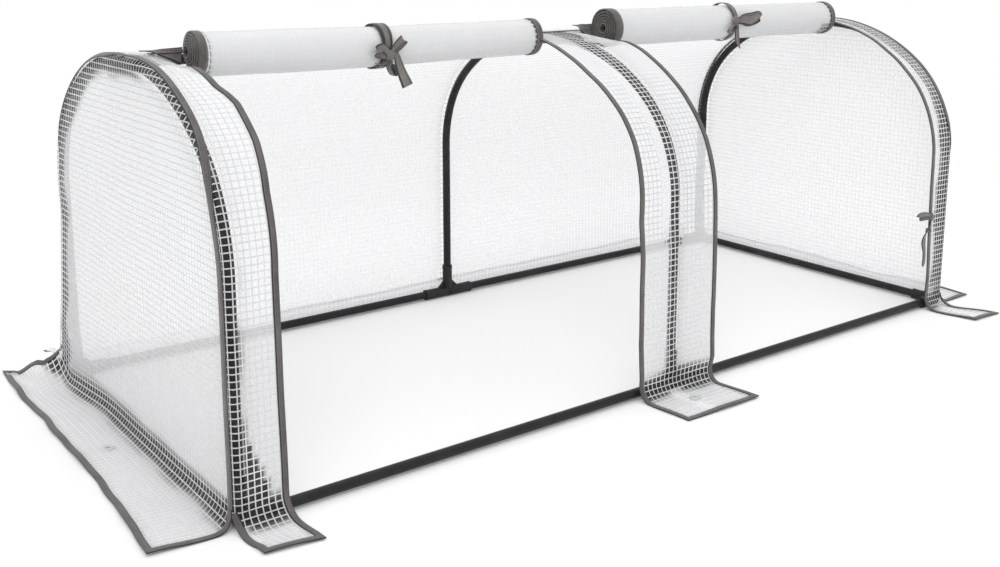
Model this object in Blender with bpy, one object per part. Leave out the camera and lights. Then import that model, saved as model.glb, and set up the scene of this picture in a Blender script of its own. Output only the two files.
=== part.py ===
"""Row cover tunnel: a black tube frame plugged into moulded connectors, under a sewn cover of
scrim-reinforced film whose two front doors are rolled up and tied below the ridge.

Metres, +Z up, the open front towards -Y, the ground at z = 0, and the origin on the ground
below the middle of the frame. The places of the cover all follow from the axes of the tubes.
"""

import math

import bmesh
import bpy
from mathutils import Matrix, Vector

# Frame
HOOP_SPACING = 0.80  # between neighbouring hoops, axis to axis
BASE_WIDTH = 0.68  # between the axes of the front and back base tubes
LEG_LENGTH = 0.325  # straight part of each leg, up from the base tubes' axes
SHOULDER_RADIUS = 0.22
SHOULDER_TURN = math.radians(51.12)  # how far a shoulder bends before the wider crown takes over
CREST_RUN = 0.035  # half the straight piece at the crest, inside the ridge connector
SHOULDER_STEPS = 6
CROWN_STEPS = 4

TUBE_RADIUS = 0.008
TUBE_WALL = 0.001
TUBE_SIDES = 12

# Moulded connectors
FIT_GAP = 0.0003  # clearance between pieces that touch
SLEEVE_WALL = 0.0022
COLLAR_LIP = 0.0005  # how far the end collars stand proud of the sleeves
COLLAR_LENGTH = 0.007
STEM_SLIMMING = 0.0002  # the upright sleeve is this much slimmer than the level ones
CORE_HALF = 0.0095  # half the solid core between two sockets
ELBOW_END = 0.0098  # how far a corner's sleeves run past its centre
T_ARM = 0.060
CORNER_ARM = 0.050
RIDGE_ARM = 0.045
STEM_HEIGHT = 0.058
WEB_REACH = 0.038
WEB_THICKNESS = 0.004
WEB_SINK = 0.0012  # how far a web's hidden edges lie inside its sleeves
CUT_OVERRUN = 0.004

# Film
FILM = 0.0008
ROOT_RADIUS = 0.0265  # curve where a wall turns out onto the ground
ROOT_STEPS = 4
SKIRT_REACH = 0.108  # from a base tube's axis out to the edge of the skirts and flaps
SKIRT_FLARE = 0.094  # how far the end skirts' rear corners run back past the base tube
END_STRIP = 0.070  # from an end hoop's axis to the inner edge of its front strip
MIDDLE_STRIP = 0.180
SEAM_SETBACK = 0.023  # from the crest forward to the seam that the doors hang from

# Binding tape
TAPE = 0.0009
TAPE_DEPTH = 0.012  # how much of the film's edge it covers
HEM_START = 0.002  # from a fold to where the tape along a side edge begins
CORNER_TAPE_DEPTH = 0.010  # each leg of the angled tape along the arches
RIDGE_TAPE_WIDTH = 0.014

# Eyelets
EYELET_BORE = 0.0045
EYELET_BARREL = 0.0055
EYELET_FLANGE = 0.009
EYELET_FLANGE_HEIGHT = 0.0009
EYELET_SETBACK = 0.060  # from the base tube's axis
EYELET_SIDES = 16

# Rolled doors
ROLL_RADIUS = 0.033
ROLL_CORE = 0.0075
ROLL_TURNS = 6
ROLL_TURN_STEPS = 20
ROLL_SHEET = 0.0012
ROLL_END_GAP = 0.0015  # from a roll's end to the bound edge of the strip beside it
ROLL_SEAM_GAP = 0.0008  # from the ridge tape to the tie

# Ties
RIBBON = 0.0010
RIBBON_WIDTH = 0.022
RIBBON_STEPS = 24
BOW_DROP = math.radians(22)  # how far below the roll's front its knot sits
BOW_WIDTH = 0.015  # the ribbon's width in the bow, where it is gathered
KNOT_ACROSS = 0.013
KNOT_ALONG = 0.017
KNOT_PROUD = 0.0085
BOW_LOOP = 0.034
BOW_LOOP_HEIGHT = 0.009
BOW_LOOP_SHARES = (
    (-0.06, 0.22),
    (0.40, 0.12),
    (0.80, 0.17),
    (1.00, 0.50),
    (0.85, 0.95),
    (0.45, 0.92),
    (-0.05, 0.70),
)  # along the loop's length and height
RIGHT_LOOP_CLIMB = math.radians(34)
LEFT_LOOP_CLIMB = math.radians(8)
LONG_TAIL = 0.046
SHORT_TAIL = 0.026
TAIL_SWING_SHARE = 0.22
TAIL_STEPS = 4
SIDE_TIE_HEIGHT = 0.190
SIDE_TIE_KNOT = 0.009
SIDE_TIE_LOOP = 0.026
SIDE_TIE_LOOP_HEIGHT = 0.011
SIDE_TIE_TAIL = 0.092
SIDE_TIE_WIDTH = 0.011
SIDE_TIE_LEAN_SHARE = 0.10

# Heights and offsets that follow from the sizes above
SLEEVE_RADIUS = TUBE_RADIUS + FIT_GAP + SLEEVE_WALL
COLLAR_RADIUS = SLEEVE_RADIUS + COLLAR_LIP
AXIS_HEIGHT = COLLAR_RADIUS  # the collars stand on the ground
HALF_WIDTH = BASE_WIDTH / 2
CROWN_SHIFT = (HALF_WIDTH - SHOULDER_RADIUS - CREST_RUN) / math.cos(SHOULDER_TURN)
CROWN_RADIUS = SHOULDER_RADIUS + CROWN_SHIFT  # both arcs meet on one tangent
ARCH_RISE = LEG_LENGTH + CROWN_RADIUS - CROWN_SHIFT * math.sin(SHOULDER_TURN)
FILM_OFFSET = COLLAR_RADIUS + FIT_GAP + FILM / 2  # from a tube's axis to the film's middle
FILM_OUTSIDE = FILM_OFFSET + FILM / 2
TAPE_CLEAR = FIT_GAP + TAPE  # from a film's face or edge to the outside of its tape
GROUND_FILM = TAPE_CLEAR + FILM / 2  # height of the middle of the film that lies flat
ROOT_TOP = GROUND_FILM + ROOT_RADIUS
ROOT_END = FILM_OFFSET + ROOT_RADIUS  # from a base tube's axis to where the film lies flat
FOLD_HEIGHT = GROUND_FILM + FILM / 2
CREST_FILM = AXIS_HEIGHT + ARCH_RISE + FILM_OFFSET
RIDGE_TAPE_FRONT = SEAM_SETBACK + RIDGE_TAPE_WIDTH / 2
TIE_RADIUS = ROLL_RADIUS + FIT_GAP + RIBBON
ROLL_SETBACK = RIDGE_TAPE_FRONT + ROLL_SEAM_GAP + TIE_RADIUS
ROLL_HEIGHT = CREST_FILM + TAPE_CLEAR

TAPE_HEIGHT = FILM / 2 + TAPE_CLEAR

X_AXIS = Vector((1, 0, 0))
Y_AXIS = Vector((0, 1, 0))
Z_AXIS = Vector((0, 0, 1))


def clear_scene():
    for old in list(bpy.data.objects):
        bpy.data.objects.remove(old, do_unlink=True)


def make_material(name, colour, roughness, alpha=1.0):
    made = bpy.data.materials.new(name)
    made.use_nodes = True
    shader = made.node_tree.nodes["Principled BSDF"]
    shader.inputs["Base Color"].default_value = (*colour, 1.0)
    shader.inputs["Roughness"].default_value = roughness
    shader.inputs["Metallic"].default_value = 0.0
    shader.inputs["Alpha"].default_value = alpha
    return made


def finish_mesh(name, bm, material, smooth=True):
    """Turns a closed bmesh into an object with its faces pointing out."""
    bmesh.ops.recalc_face_normals(bm, faces=bm.faces)
    mesh = bpy.data.meshes.new(name)
    bm.to_mesh(mesh)
    bm.free()
    mesh.materials.append(material)
    if smooth:
        mesh.shade_smooth()
        mesh.set_sharp_from_angle(angle=math.radians(40))
    made = bpy.data.objects.new(name, mesh)
    bpy.context.scene.collection.objects.link(made)
    return made


def hide_helper(helper):
    helper.hide_render = True
    helper.display_type = "WIRE"
    return helper


def add_boolean(target, helper, operation):
    hide_helper(helper)
    step = target.modifiers.new(helper.name, "BOOLEAN")
    step.operation = operation
    step.object = helper
    step.solver = "EXACT"


def make_hinge(name, place):
    """An empty on a fold's axis. The pieces that fold have it as their parent."""
    hinge = bpy.data.objects.new(name, None)
    hinge.location = place
    bpy.context.scene.collection.objects.link(hinge)
    return hinge


def hang_on(hinge, *pieces):
    """Gives pieces that were made in place, and their cutters, their origin on the hinge."""
    carried = list(pieces)
    for piece in pieces:
        carried += [step.object for step in piece.modifiers if step.type == "BOOLEAN"]
    for piece in carried:
        piece.data.transform(Matrix.Translation(-hinge.location))
        piece.parent = hinge


# Rings, tubes and sweeps


def ring_points(centre, across, along, radius, sides):
    """Points of a regular polygon whose flats lie at radius, with flats facing both axes."""
    corner = radius / math.cos(math.pi / sides)
    points = []
    for k in range(sides):
        angle = (k + 0.5) * 2 * math.pi / sides
        points.append(centre + (across * math.cos(angle) + along * math.sin(angle)) * corner)
    return points


def add_loop(bm, points):
    return [bm.verts.new(p) for p in points]


def bridge(bm, first, second):
    """Quads between two closed loops of as many points."""
    count = len(first)
    for k in range(count):
        after = (k + 1) % count
        bm.faces.new((first[k], first[after], second[after], second[k]))


def make_tube(name, stations, material):
    """A hollow tube along stations of (centre, across, along)."""
    bm = bmesh.new()
    outer = []
    inner = []
    for centre, across, along in stations:
        outer.append(add_loop(bm, ring_points(centre, across, along, TUBE_RADIUS, TUBE_SIDES)))
        bore = TUBE_RADIUS - TUBE_WALL
        inner.append(add_loop(bm, ring_points(centre, across, along, bore, TUBE_SIDES)))
    for skin in (outer, inner):
        for first, second in zip(skin, skin[1:]):
            bridge(bm, first, second)
    for end in (0, -1):
        bridge(bm, outer[end], inner[end])
    return finish_mesh(name, bm, material)


def make_sweep(name, stations, profile, material, smooth=True):
    """A closed profile of (u, v) points carried along stations of (centre, u axis, v axis)."""
    bm = bmesh.new()
    loops = [
        add_loop(bm, [centre + u_axis * u + v_axis * v for u, v in profile])
        for centre, u_axis, v_axis in stations
    ]
    for first, second in zip(loops, loops[1:]):
        bridge(bm, first, second)
    bm.faces.new(loops[0])
    bm.faces.new(loops[-1])
    return finish_mesh(name, bm, material, smooth)


def make_turned(name, centre, axis, across, profile, sides, material):
    """A closed (radius, height) profile turned about an axis through centre."""
    along = axis.cross(across)
    bm = bmesh.new()
    loops = []
    for radius, height in profile:
        points = ring_points(centre + axis * height, across, along, radius, sides)
        loops.append(add_loop(bm, points))
    for k, first in enumerate(loops):
        bridge(bm, first, loops[(k + 1) % len(loops)])
    return finish_mesh(name, bm, material)


# The arch that the hoops, the cover and its tapes share


def half_arch():
    """Stations (q, z, nq, nz) along a hoop's axis from the top of a leg to the crest.

    q is the distance from the middle plane, and (nq, nz) points out of the tunnel. A shoulder
    arc and a wider crown arc meet on one tangent, and the crown ends level at CREST_RUN.
    """
    shoulder_q = HALF_WIDTH - SHOULDER_RADIUS
    shoulder_z = AXIS_HEIGHT + LEG_LENGTH
    crown_z = AXIS_HEIGHT + ARCH_RISE - CROWN_RADIUS
    stations = []
    for k in range(SHOULDER_STEPS + 1):
        angle = SHOULDER_TURN * k / SHOULDER_STEPS
        c, s = math.cos(angle), math.sin(angle)
        stations.append((shoulder_q + SHOULDER_RADIUS * c, shoulder_z + SHOULDER_RADIUS * s, c, s))
    for k in range(1, CROWN_STEPS + 1):
        angle = SHOULDER_TURN + (math.pi / 2 - SHOULDER_TURN) * k / CROWN_STEPS
        c, s = math.cos(angle), math.sin(angle)
        stations.append((CREST_RUN + CROWN_RADIUS * c, crown_z + CROWN_RADIUS * s, c, s))
    return stations


def cover_half(start_q, to_ground=True):
    """Stations (q, z, nq, nz) of the film's middle from start_q at the crest down one side.

    It ends at the top of the root curve, or with to_ground where the film lies flat.
    """
    stations = [(start_q, CREST_FILM, 0.0, 1.0)]
    for q, z, nq, nz in reversed(half_arch()):
        stations.append((q + nq * FILM_OFFSET, z + nz * FILM_OFFSET, nq, nz))
    centre_q = HALF_WIDTH + ROOT_END
    steps = ROOT_STEPS if to_ground else 0
    for k in range(steps + 1):
        angle = math.pi + math.pi / 2 * k / ROOT_STEPS
        c, s = math.cos(angle), math.sin(angle)
        stations.append((centre_q + ROOT_RADIUS * c, ROOT_TOP + ROOT_RADIUS * s, -c, -s))
    return stations


def place_half(station, side):
    """A (q, z, nq, nz) station as a point and a normal at x = 0. side is -1 in front."""
    q, z, nq, nz = station
    return Vector((0, side * q, z)), Vector((0, side * nq, nz))


# Frame


def base_tube_stations(start, end):
    direction = (end - start).normalized()
    return [(p, Z_AXIS, direction.cross(Z_AXIS)) for p in (start, end)]


def make_base_tubes(material):
    seat = CORE_HALF + FIT_GAP
    tubes = []
    for side, side_name in ((-1, "front"), (1, "back")):
        for x0, x1, name in ((-HOOP_SPACING, 0, "left"), (0, HOOP_SPACING, "right")):
            start = Vector((x0 + seat, side * HALF_WIDTH, AXIS_HEIGHT))
            end = Vector((x1 - seat, side * HALF_WIDTH, AXIS_HEIGHT))
            tube_name = f"base_tube_{side_name}_{name}"
            tubes.append(make_tube(tube_name, base_tube_stations(start, end), material))
    for x, name in ((-HOOP_SPACING, "left"), (HOOP_SPACING, "right")):
        start = Vector((x, -HALF_WIDTH + seat, AXIS_HEIGHT))
        end = Vector((x, HALF_WIDTH - seat, AXIS_HEIGHT))
        tubes.append(make_tube(f"base_tube_{name}_end", base_tube_stations(start, end), material))
    return tubes


def make_hoop_half(name, x, side, material):
    """One bent tube of a hoop, from its socket at the base up to the ridge connector."""
    seat = CORE_HALF + FIT_GAP
    path = [(HALF_WIDTH, AXIS_HEIGHT + seat, 1.0, 0.0)]
    path += half_arch()
    path.append((seat, AXIS_HEIGHT + ARCH_RISE, 0.0, 1.0))
    stations = []
    for station in path:
        place, normal = place_half(station, side)
        stations.append((place + X_AXIS * x, normal, X_AXIS))
    return make_tube(name, stations, material)


def make_sleeve(name, centre, direction, across, radius, start, length, material):
    """A round sleeve with a collar at its mouth, closed at both ends until it is bored."""
    step = length - COLLAR_LENGTH
    collar = radius + COLLAR_LIP
    along = direction.cross(across)
    bm = bmesh.new()
    loops = []
    for ring_radius, height in ((radius, start), (radius, step), (collar, step), (collar, length)):
        middle = centre + direction * height
        points = ring_points(middle, across, along, ring_radius, TUBE_SIDES)
        loops.append(add_loop(bm, points))
    for first, second in zip(loops, loops[1:]):
        bridge(bm, first, second)
    bm.faces.new(loops[0])
    bm.faces.new(loops[-1])
    return finish_mesh(name, bm, material)


def make_web(name, centre, first, second, sink, material):
    """A three-cornered gusset between two sleeves, sunk a little past both their axes."""
    normal = first.cross(second) * (WEB_THICKNESS / 2)
    corners = [
        centre - (first + second) * sink,
        centre + first * WEB_REACH - second * sink,
        centre + second * WEB_REACH - first * sink,
    ]
    bm = bmesh.new()
    low = add_loop(bm, [p - normal for p in corners])
    high = add_loop(bm, [p + normal for p in corners])
    bridge(bm, low, high)
    bm.faces.new(low)
    bm.faces.new(high)
    return finish_mesh(name, bm, material, smooth=False)


def make_double_sleeve(name, centre, direction, across, radius, length, material):
    """A sleeve through the centre with a collar at both mouths."""
    step = length - COLLAR_LENGTH
    collar = radius + COLLAR_LIP
    along = direction.cross(across)
    heights = (
        (collar, -length),
        (collar, -step),
        (radius, -step),
        (radius, step),
        (collar, step),
        (collar, length),
    )
    bm = bmesh.new()
    loops = []
    for ring_radius, height in heights:
        middle = centre + direction * height
        points = ring_points(middle, across, along, ring_radius, TUBE_SIDES)
        loops.append(add_loop(bm, points))
    for first, second in zip(loops, loops[1:]):
        bridge(bm, first, second)
    bm.faces.new(loops[0])
    bm.faces.new(loops[-1])
    return finish_mesh(name, bm, material)


def bore_sockets(body, centre, sockets, material):
    """Cuts a blind socket along each (direction, across, length)."""
    for k, (direction, across, length) in enumerate(sockets):
        along = direction.cross(across)
        bm = bmesh.new()
        loops = []
        for height in (CORE_HALF, length + CUT_OVERRUN):
            middle = centre + direction * height
            points = ring_points(middle, across, along, TUBE_RADIUS + FIT_GAP, TUBE_SIDES)
            loops.append(add_loop(bm, points))
        bridge(bm, loops[0], loops[1])
        bm.faces.new(loops[0])
        bm.faces.new(loops[1])
        add_boolean(body, finish_mesh(f"{body.name}_socket_{k}", bm, material), "DIFFERENCE")


def make_corner_connector(name, x_side, y_side, material):
    """A three-way corner: one sleeve along each base tube and one up the leg."""
    centre = Vector((x_side * HOOP_SPACING, y_side * HALF_WIDTH, AXIS_HEIGHT))
    inward_x = X_AXIS * -x_side
    inward_y = Y_AXIS * -y_side
    arms = (
        (inward_x, Z_AXIS, CORNER_ARM),
        (inward_y, Z_AXIS, CORNER_ARM),
        (Z_AXIS, X_AXIS, STEM_HEIGHT),
    )
    body = None
    for k, (direction, across, length) in enumerate(arms):
        radius = SLEEVE_RADIUS - STEM_SLIMMING * k
        part_name = f"{name}_sleeve_{k}" if body else name
        start = -ELBOW_END + STEM_SLIMMING * k
        sleeve = make_sleeve(part_name, centre, direction, across, radius, start, length, material)
        if body:
            add_boolean(body, sleeve, "UNION")
        else:
            body = sleeve
    for k, pair in enumerate(((inward_x, Z_AXIS), (inward_y, Z_AXIS), (inward_x, inward_y))):
        sink = WEB_SINK * (k + 1)
        add_boolean(body, make_web(f"{name}_web_{k}", centre, *pair, sink, material), "UNION")
    bore_sockets(body, centre, arms, material)
    return body


def make_t_connector(name, y_side, material):
    """A tee: a sleeve through along the base tubes, and one up the middle hoop's leg."""
    centre = Vector((0, y_side * HALF_WIDTH, AXIS_HEIGHT))
    body = make_double_sleeve(name, centre, X_AXIS, Z_AXIS, SLEEVE_RADIUS, T_ARM, material)
    stem_radius = SLEEVE_RADIUS - STEM_SLIMMING
    stem = make_sleeve(
        f"{name}_stem", centre, Z_AXIS, X_AXIS, stem_radius, 0, STEM_HEIGHT, material
    )
    add_boolean(body, stem, "UNION")
    for k, direction in enumerate((X_AXIS, -X_AXIS)):
        sink = WEB_SINK * (k + 1)
        web = make_web(f"{name}_web_{k}", centre, direction, Z_AXIS, sink, material)
        add_boolean(body, web, "UNION")
    sockets = (
        (X_AXIS, Z_AXIS, T_ARM),
        (-X_AXIS, Z_AXIS, T_ARM),
        (Z_AXIS, X_AXIS, STEM_HEIGHT),
    )
    bore_sockets(body, centre, sockets, material)
    return body


def make_ridge_connector(name, x, arm_sides, material):
    """A tee or a cross at a crest, holding both halves of a hoop and the ridge tubes."""
    centre = Vector((x, 0, AXIS_HEIGHT + ARCH_RISE))
    body = make_double_sleeve(name, centre, Y_AXIS, Z_AXIS, SLEEVE_RADIUS, CREST_RUN, material)
    sockets = [(Y_AXIS, Z_AXIS, CREST_RUN), (-Y_AXIS, Z_AXIS, CREST_RUN)]
    for k, side in enumerate(arm_sides):
        direction = X_AXIS * side
        radius = SLEEVE_RADIUS - STEM_SLIMMING
        arm_name = f"{name}_arm_{k}"
        arm = make_sleeve(arm_name, centre, direction, Z_AXIS, radius, 0, RIDGE_ARM, material)
        add_boolean(body, arm, "UNION")
        sockets.append((direction, Z_AXIS, RIDGE_ARM))
    bore_sockets(body, centre, sockets, material)
    return body


def make_ridge_tube(name, x_side, material):
    seat = CORE_HALF + FIT_GAP
    height = AXIS_HEIGHT + ARCH_RISE
    start = Vector((x_side * seat, 0, height))
    end = Vector((x_side * (HOOP_SPACING - seat), 0, height))
    return make_tube(name, base_tube_stations(start, end), material)


def make_frame(steel, plastic):
    make_base_tubes(steel)
    hoops = ((-HOOP_SPACING, "left"), (0.0, "middle"), (HOOP_SPACING, "right"))
    for x, name in hoops:
        make_hoop_half(f"hoop_tube_{name}_front", x, -1, steel)
        make_hoop_half(f"hoop_tube_{name}_back", x, 1, steel)
    for y_side, side_name in ((-1, "front"), (1, "back")):
        make_t_connector(f"t_connector_{side_name}", y_side, plastic)
        for x_side, end_name in ((-1, "left"), (1, "right")):
            corner_name = f"corner_connector_{side_name}_{end_name}"
            make_corner_connector(corner_name, x_side, y_side, plastic)
    make_ridge_connector("ridge_connector_left", -HOOP_SPACING, (1,), plastic)
    make_ridge_connector("ridge_connector_middle", 0.0, (-1, 1), plastic)
    make_ridge_connector("ridge_connector_right", HOOP_SPACING, (-1,), plastic)
    make_ridge_tube("ridge_tube_left", -1, steel)
    make_ridge_tube("ridge_tube_right", 1, steel)


# Cover


def thicken(made):
    """Gives a mid-surface the film's thickness, half to each side."""
    step = made.modifiers.new("film_thickness", "SOLIDIFY")
    step.thickness = FILM
    step.offset = 0.0
    step.use_even_offset = True
    return made


def make_film_band(name, stations, side, x0, x1, material):
    """Film from x0 to x1 that follows cover stations down one side."""
    bm = bmesh.new()
    rows = []
    for station in stations:
        place, _ = place_half(station, side)
        rows.append([bm.verts.new(place + X_AXIS * x) for x in (x0, x1)])
    for first, second in zip(rows, rows[1:]):
        bm.faces.new((first[0], first[1], second[1], second[0]))
    return thicken(finish_mesh(name, bm, material))


def make_end_panel(name, x_side, material):
    """A flat arch of film outside an end hoop, whose foot curves out onto the ground."""
    rim = [(HALF_WIDTH + COLLAR_RADIUS, ROOT_TOP)]
    rim += [(q + nq * COLLAR_RADIUS, z + nz * COLLAR_RADIUS) for q, z, nq, nz in half_arch()]
    plane_x = x_side * (HOOP_SPACING + FILM_OFFSET)
    bm = bmesh.new()
    front = [bm.verts.new((plane_x, -q, z)) for q, z in rim]
    back = [bm.verts.new((plane_x, q, z)) for q, z in rim]
    bm.faces.new(front + back[::-1])
    centre_x = HOOP_SPACING + ROOT_END
    rows = [(front[0], back[0])]
    for k in range(1, ROOT_STEPS + 1):
        angle = math.pi + math.pi / 2 * k / ROOT_STEPS
        x = x_side * (centre_x + ROOT_RADIUS * math.cos(angle))
        z = ROOT_TOP + ROOT_RADIUS * math.sin(angle)
        rows.append([bm.verts.new((x, v.co.y, z)) for v in rows[0]])
    for first, second in zip(rows, rows[1:]):
        bm.faces.new((first[0], first[1], second[1], second[0]))
    return thicken(finish_mesh(name, bm, material))


def make_ground_film(name, corners, material):
    """Film that lies flat, as a closed outline of (x, y) corners."""
    bm = bmesh.new()
    bm.faces.new([bm.verts.new((x, y, GROUND_FILM)) for x, y in corners])
    return thicken(finish_mesh(name, bm, material, smooth=False))


def edge_tape_profile():
    """Tape folded over a film's edge. u runs out of the edge, and v across the film."""
    outer = TAPE_HEIGHT
    inner = FILM / 2 + FIT_GAP
    return (
        (TAPE_CLEAR, -outer),
        (TAPE_CLEAR, outer),
        (-TAPE_DEPTH, outer),
        (-TAPE_DEPTH, inner),
        (FIT_GAP, inner),
        (FIT_GAP, -inner),
        (-TAPE_DEPTH, -inner),
        (-TAPE_DEPTH, -outer),
    )


def corner_tape_profile():
    """Angled tape over an arch seam. u runs out of the end, and v out of the tunnel."""
    return (
        (FIT_GAP, FIT_GAP),
        (FIT_GAP, -CORNER_TAPE_DEPTH),
        (TAPE_CLEAR, -CORNER_TAPE_DEPTH),
        (TAPE_CLEAR, TAPE_CLEAR),
        (-CORNER_TAPE_DEPTH, TAPE_CLEAR),
        (-CORNER_TAPE_DEPTH, FIT_GAP),
    )


def make_strip_tape(name, x_edge, outward, material):
    """Tape down a strip's free edge, from the ridge tape to where the strip lies flat."""
    stations = []
    start_q = RIDGE_TAPE_FRONT + FIT_GAP
    for station in cover_half(start_q):
        place, normal = place_half(station, -1)
        stations.append((place + X_AXIS * x_edge, X_AXIS * outward, normal))
    return make_sweep(name, stations, edge_tape_profile(), material)


def make_arch_tape(name, x_side, material):
    """The angled tape round an end arch, from the front root curve over to the back one."""
    rim = [(HALF_WIDTH + FILM_OUTSIDE, ROOT_TOP, 1.0, 0.0)]
    for q, z, nq, nz in half_arch():
        rim.append((q + nq * FILM_OUTSIDE, z + nz * FILM_OUTSIDE, nq, nz))
    edge = X_AXIS * (x_side * (HOOP_SPACING + FILM_OUTSIDE))
    stations = []
    for side, run in ((-1, rim), (1, rim[::-1])):
        for station in run:
            place, normal = place_half(station, side)
            stations.append((place + edge, X_AXIS * x_side, normal))
    return make_sweep(name, stations, corner_tape_profile(), material)


def make_ridge_tape(name, material):
    """Flat tape over the seam where the roof, the strips and the doors meet."""
    low = FILM / 2 + FIT_GAP
    high = TAPE_HEIGHT
    half = RIDGE_TAPE_WIDTH / 2
    profile = ((-half, low), (half, low), (half, high), (-half, high))
    end = HOOP_SPACING + FILM_OUTSIDE - CORNER_TAPE_DEPTH - FIT_GAP
    centre = Vector((0, -SEAM_SETBACK, CREST_FILM))
    stations = [(centre + X_AXIS * x, Y_AXIS, Z_AXIS) for x in (-end, end)]
    return make_sweep(name, stations, profile, material, smooth=False)


def make_hem(name, points, material):
    """Tape round three free edges of film on the ground, mitred at its corners.

    points run from the fold, round both outer corners and back to the fold, with the film on
    their left.
    """
    corners = [Vector((x, y, GROUND_FILM)) for x, y in points]
    runs = [(b - a).normalized() for a, b in zip(corners, corners[1:])]
    corners[0] += runs[0] * HEM_START
    corners[-1] -= runs[-1] * HEM_START
    stations = []
    for k, corner in enumerate(corners):
        before = runs[max(k - 1, 0)].cross(Z_AXIS)
        after = runs[min(k, len(runs) - 1)].cross(Z_AXIS)
        mitre = (before + after).normalized()
        mitre /= mitre.dot(after)
        stations.append((corner, mitre, Z_AXIS))
    return make_sweep(name, stations, edge_tape_profile(), material, smooth=False)


def make_eyelet(name, x, y, film, material):
    """A moulded eyelet clamped through a hole in film that lies flat."""
    low = FILM / 2 + FIT_GAP
    high = low + EYELET_FLANGE_HEIGHT
    profile = (
        (EYELET_BORE, -high),
        (EYELET_FLANGE, -high),
        (EYELET_FLANGE, -low),
        (EYELET_BARREL, -low),
        (EYELET_BARREL, low),
        (EYELET_FLANGE, low),
        (EYELET_FLANGE, high),
        (EYELET_BORE, high),
    )
    centre = Vector((x, y, GROUND_FILM))
    eyelet = make_turned(name, centre, Z_AXIS, X_AXIS, profile, EYELET_SIDES, material)
    bm = bmesh.new()
    loops = []
    for height in (-CUT_OVERRUN, CUT_OVERRUN):
        middle = centre + Z_AXIS * height
        hole = EYELET_BARREL + FIT_GAP
        loops.append(add_loop(bm, ring_points(middle, X_AXIS, Y_AXIS, hole, EYELET_SIDES)))
    bridge(bm, loops[0], loops[1])
    bm.faces.new(loops[0])
    bm.faces.new(loops[1])
    add_boolean(film, finish_mesh(f"{name}_hole", bm, material), "DIFFERENCE")
    return eyelet


def strip_spans():
    """The front strips as (name, x0, x1, whether each edge is free)."""
    outside = HOOP_SPACING + FILM_OUTSIDE
    inside = HOOP_SPACING - END_STRIP
    half = MIDDLE_STRIP / 2
    return (
        ("left", -outside, -inside, False, True),
        ("middle", -half, half, True, True),
        ("right", inside, outside, True, False),
    )


def make_front_flap(name, x0, x1, film, tape, plastic):
    """The end of a strip that lies on the ground and folds up about its root."""
    root = -(HALF_WIDTH + ROOT_END + FIT_GAP)
    edge = -(HALF_WIDTH + SKIRT_REACH - TAPE_CLEAR)
    flap = make_ground_film(
        f"front_flap_{name}", ((x0, root), (x0, edge), (x1, edge), (x1, root)), film
    )
    hem_points = ((x0, root), (x0, edge), (x1, edge), (x1, root))
    hem = make_hem(f"flap_hem_{name}", hem_points, tape)
    pieces = [flap, hem]
    if name == "middle":
        centre_y = -(HALF_WIDTH + EYELET_SETBACK)
        pieces.append(make_eyelet("eyelet_front", (x0 + x1) / 2, centre_y, flap, plastic))
    hinge = make_hinge(f"flap_fold_{name}", Vector(((x0 + x1) / 2, root, FOLD_HEIGHT)))
    hang_on(hinge, *pieces)


def make_end_skirt(name, x_side, film, tape, plastic):
    """The skirt outside an end panel, whose rear corner runs back past the frame."""
    root = x_side * (HOOP_SPACING + ROOT_END + FIT_GAP)
    edge = x_side * (HOOP_SPACING + SKIRT_REACH - TAPE_CLEAR)
    front = -(HALF_WIDTH + COLLAR_RADIUS)
    rear = HALF_WIDTH + COLLAR_RADIUS
    flared = HALF_WIDTH + SKIRT_FLARE
    outline = ((root, rear), (edge, flared), (edge, front), (root, front))
    if x_side > 0:
        outline = outline[::-1]
    skirt = make_ground_film(f"skirt_{name}", outline, film)
    hem = make_hem(f"skirt_hem_{name}", outline, tape)
    eyelet_x = x_side * (HOOP_SPACING + EYELET_SETBACK)
    eyelet = make_eyelet(f"eyelet_{name}", eyelet_x, 0.0, skirt, plastic)
    hinge = make_hinge(f"skirt_fold_{name}", Vector((root, 0, FOLD_HEIGHT)))
    hang_on(hinge, skirt, hem, eyelet)


def make_back_skirt(film, tape, plastic):
    side_x = HOOP_SPACING + FILM_OUTSIDE
    root = HALF_WIDTH + ROOT_END + FIT_GAP
    edge = HALF_WIDTH + SKIRT_REACH - TAPE_CLEAR
    outline = ((side_x, root), (side_x, edge), (-side_x, edge), (-side_x, root))
    skirt = make_ground_film("skirt_back", outline, film)
    hem = make_hem("skirt_hem_back", outline, tape)
    eyelet = make_eyelet("eyelet_back", 0.0, HALF_WIDTH + EYELET_SETBACK, skirt, plastic)
    hinge = make_hinge("skirt_fold_back", Vector((0, root, FOLD_HEIGHT)))
    hang_on(hinge, skirt, hem, eyelet)


def make_cover(film, tape, plastic):
    side_x = HOOP_SPACING + FILM_OUTSIDE
    roof_start = -(SEAM_SETBACK - FIT_GAP / 2)
    make_film_band("roof_back_panel", cover_half(roof_start), 1, -side_x, side_x, film)
    for name, x_side in (("left", -1), ("right", 1)):
        make_end_panel(f"end_panel_{name}", x_side, film)
        make_arch_tape(f"arch_binding_{name}", x_side, tape)
        make_end_skirt(name, x_side, film, tape, plastic)
    make_back_skirt(film, tape, plastic)
    make_ridge_tape("ridge_binding", tape)
    strip_start = SEAM_SETBACK + FIT_GAP / 2
    for name, x0, x1, left_free, right_free in strip_spans():
        make_film_band(f"front_strip_{name}", cover_half(strip_start), -1, x0, x1, film)
        ends = [(x0, -1, "left")] if left_free else []
        ends += [(x1, 1, "right")] if right_free else []
        for x_edge, outward, edge_name in ends:
            tape_name = f"strip_binding_{name}" + (f"_{edge_name}" if len(ends) > 1 else "")
            make_strip_tape(tape_name, x_edge, outward, tape)
        make_front_flap(name, x0, x1, film, tape, plastic)


# Rolled doors and ties


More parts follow.
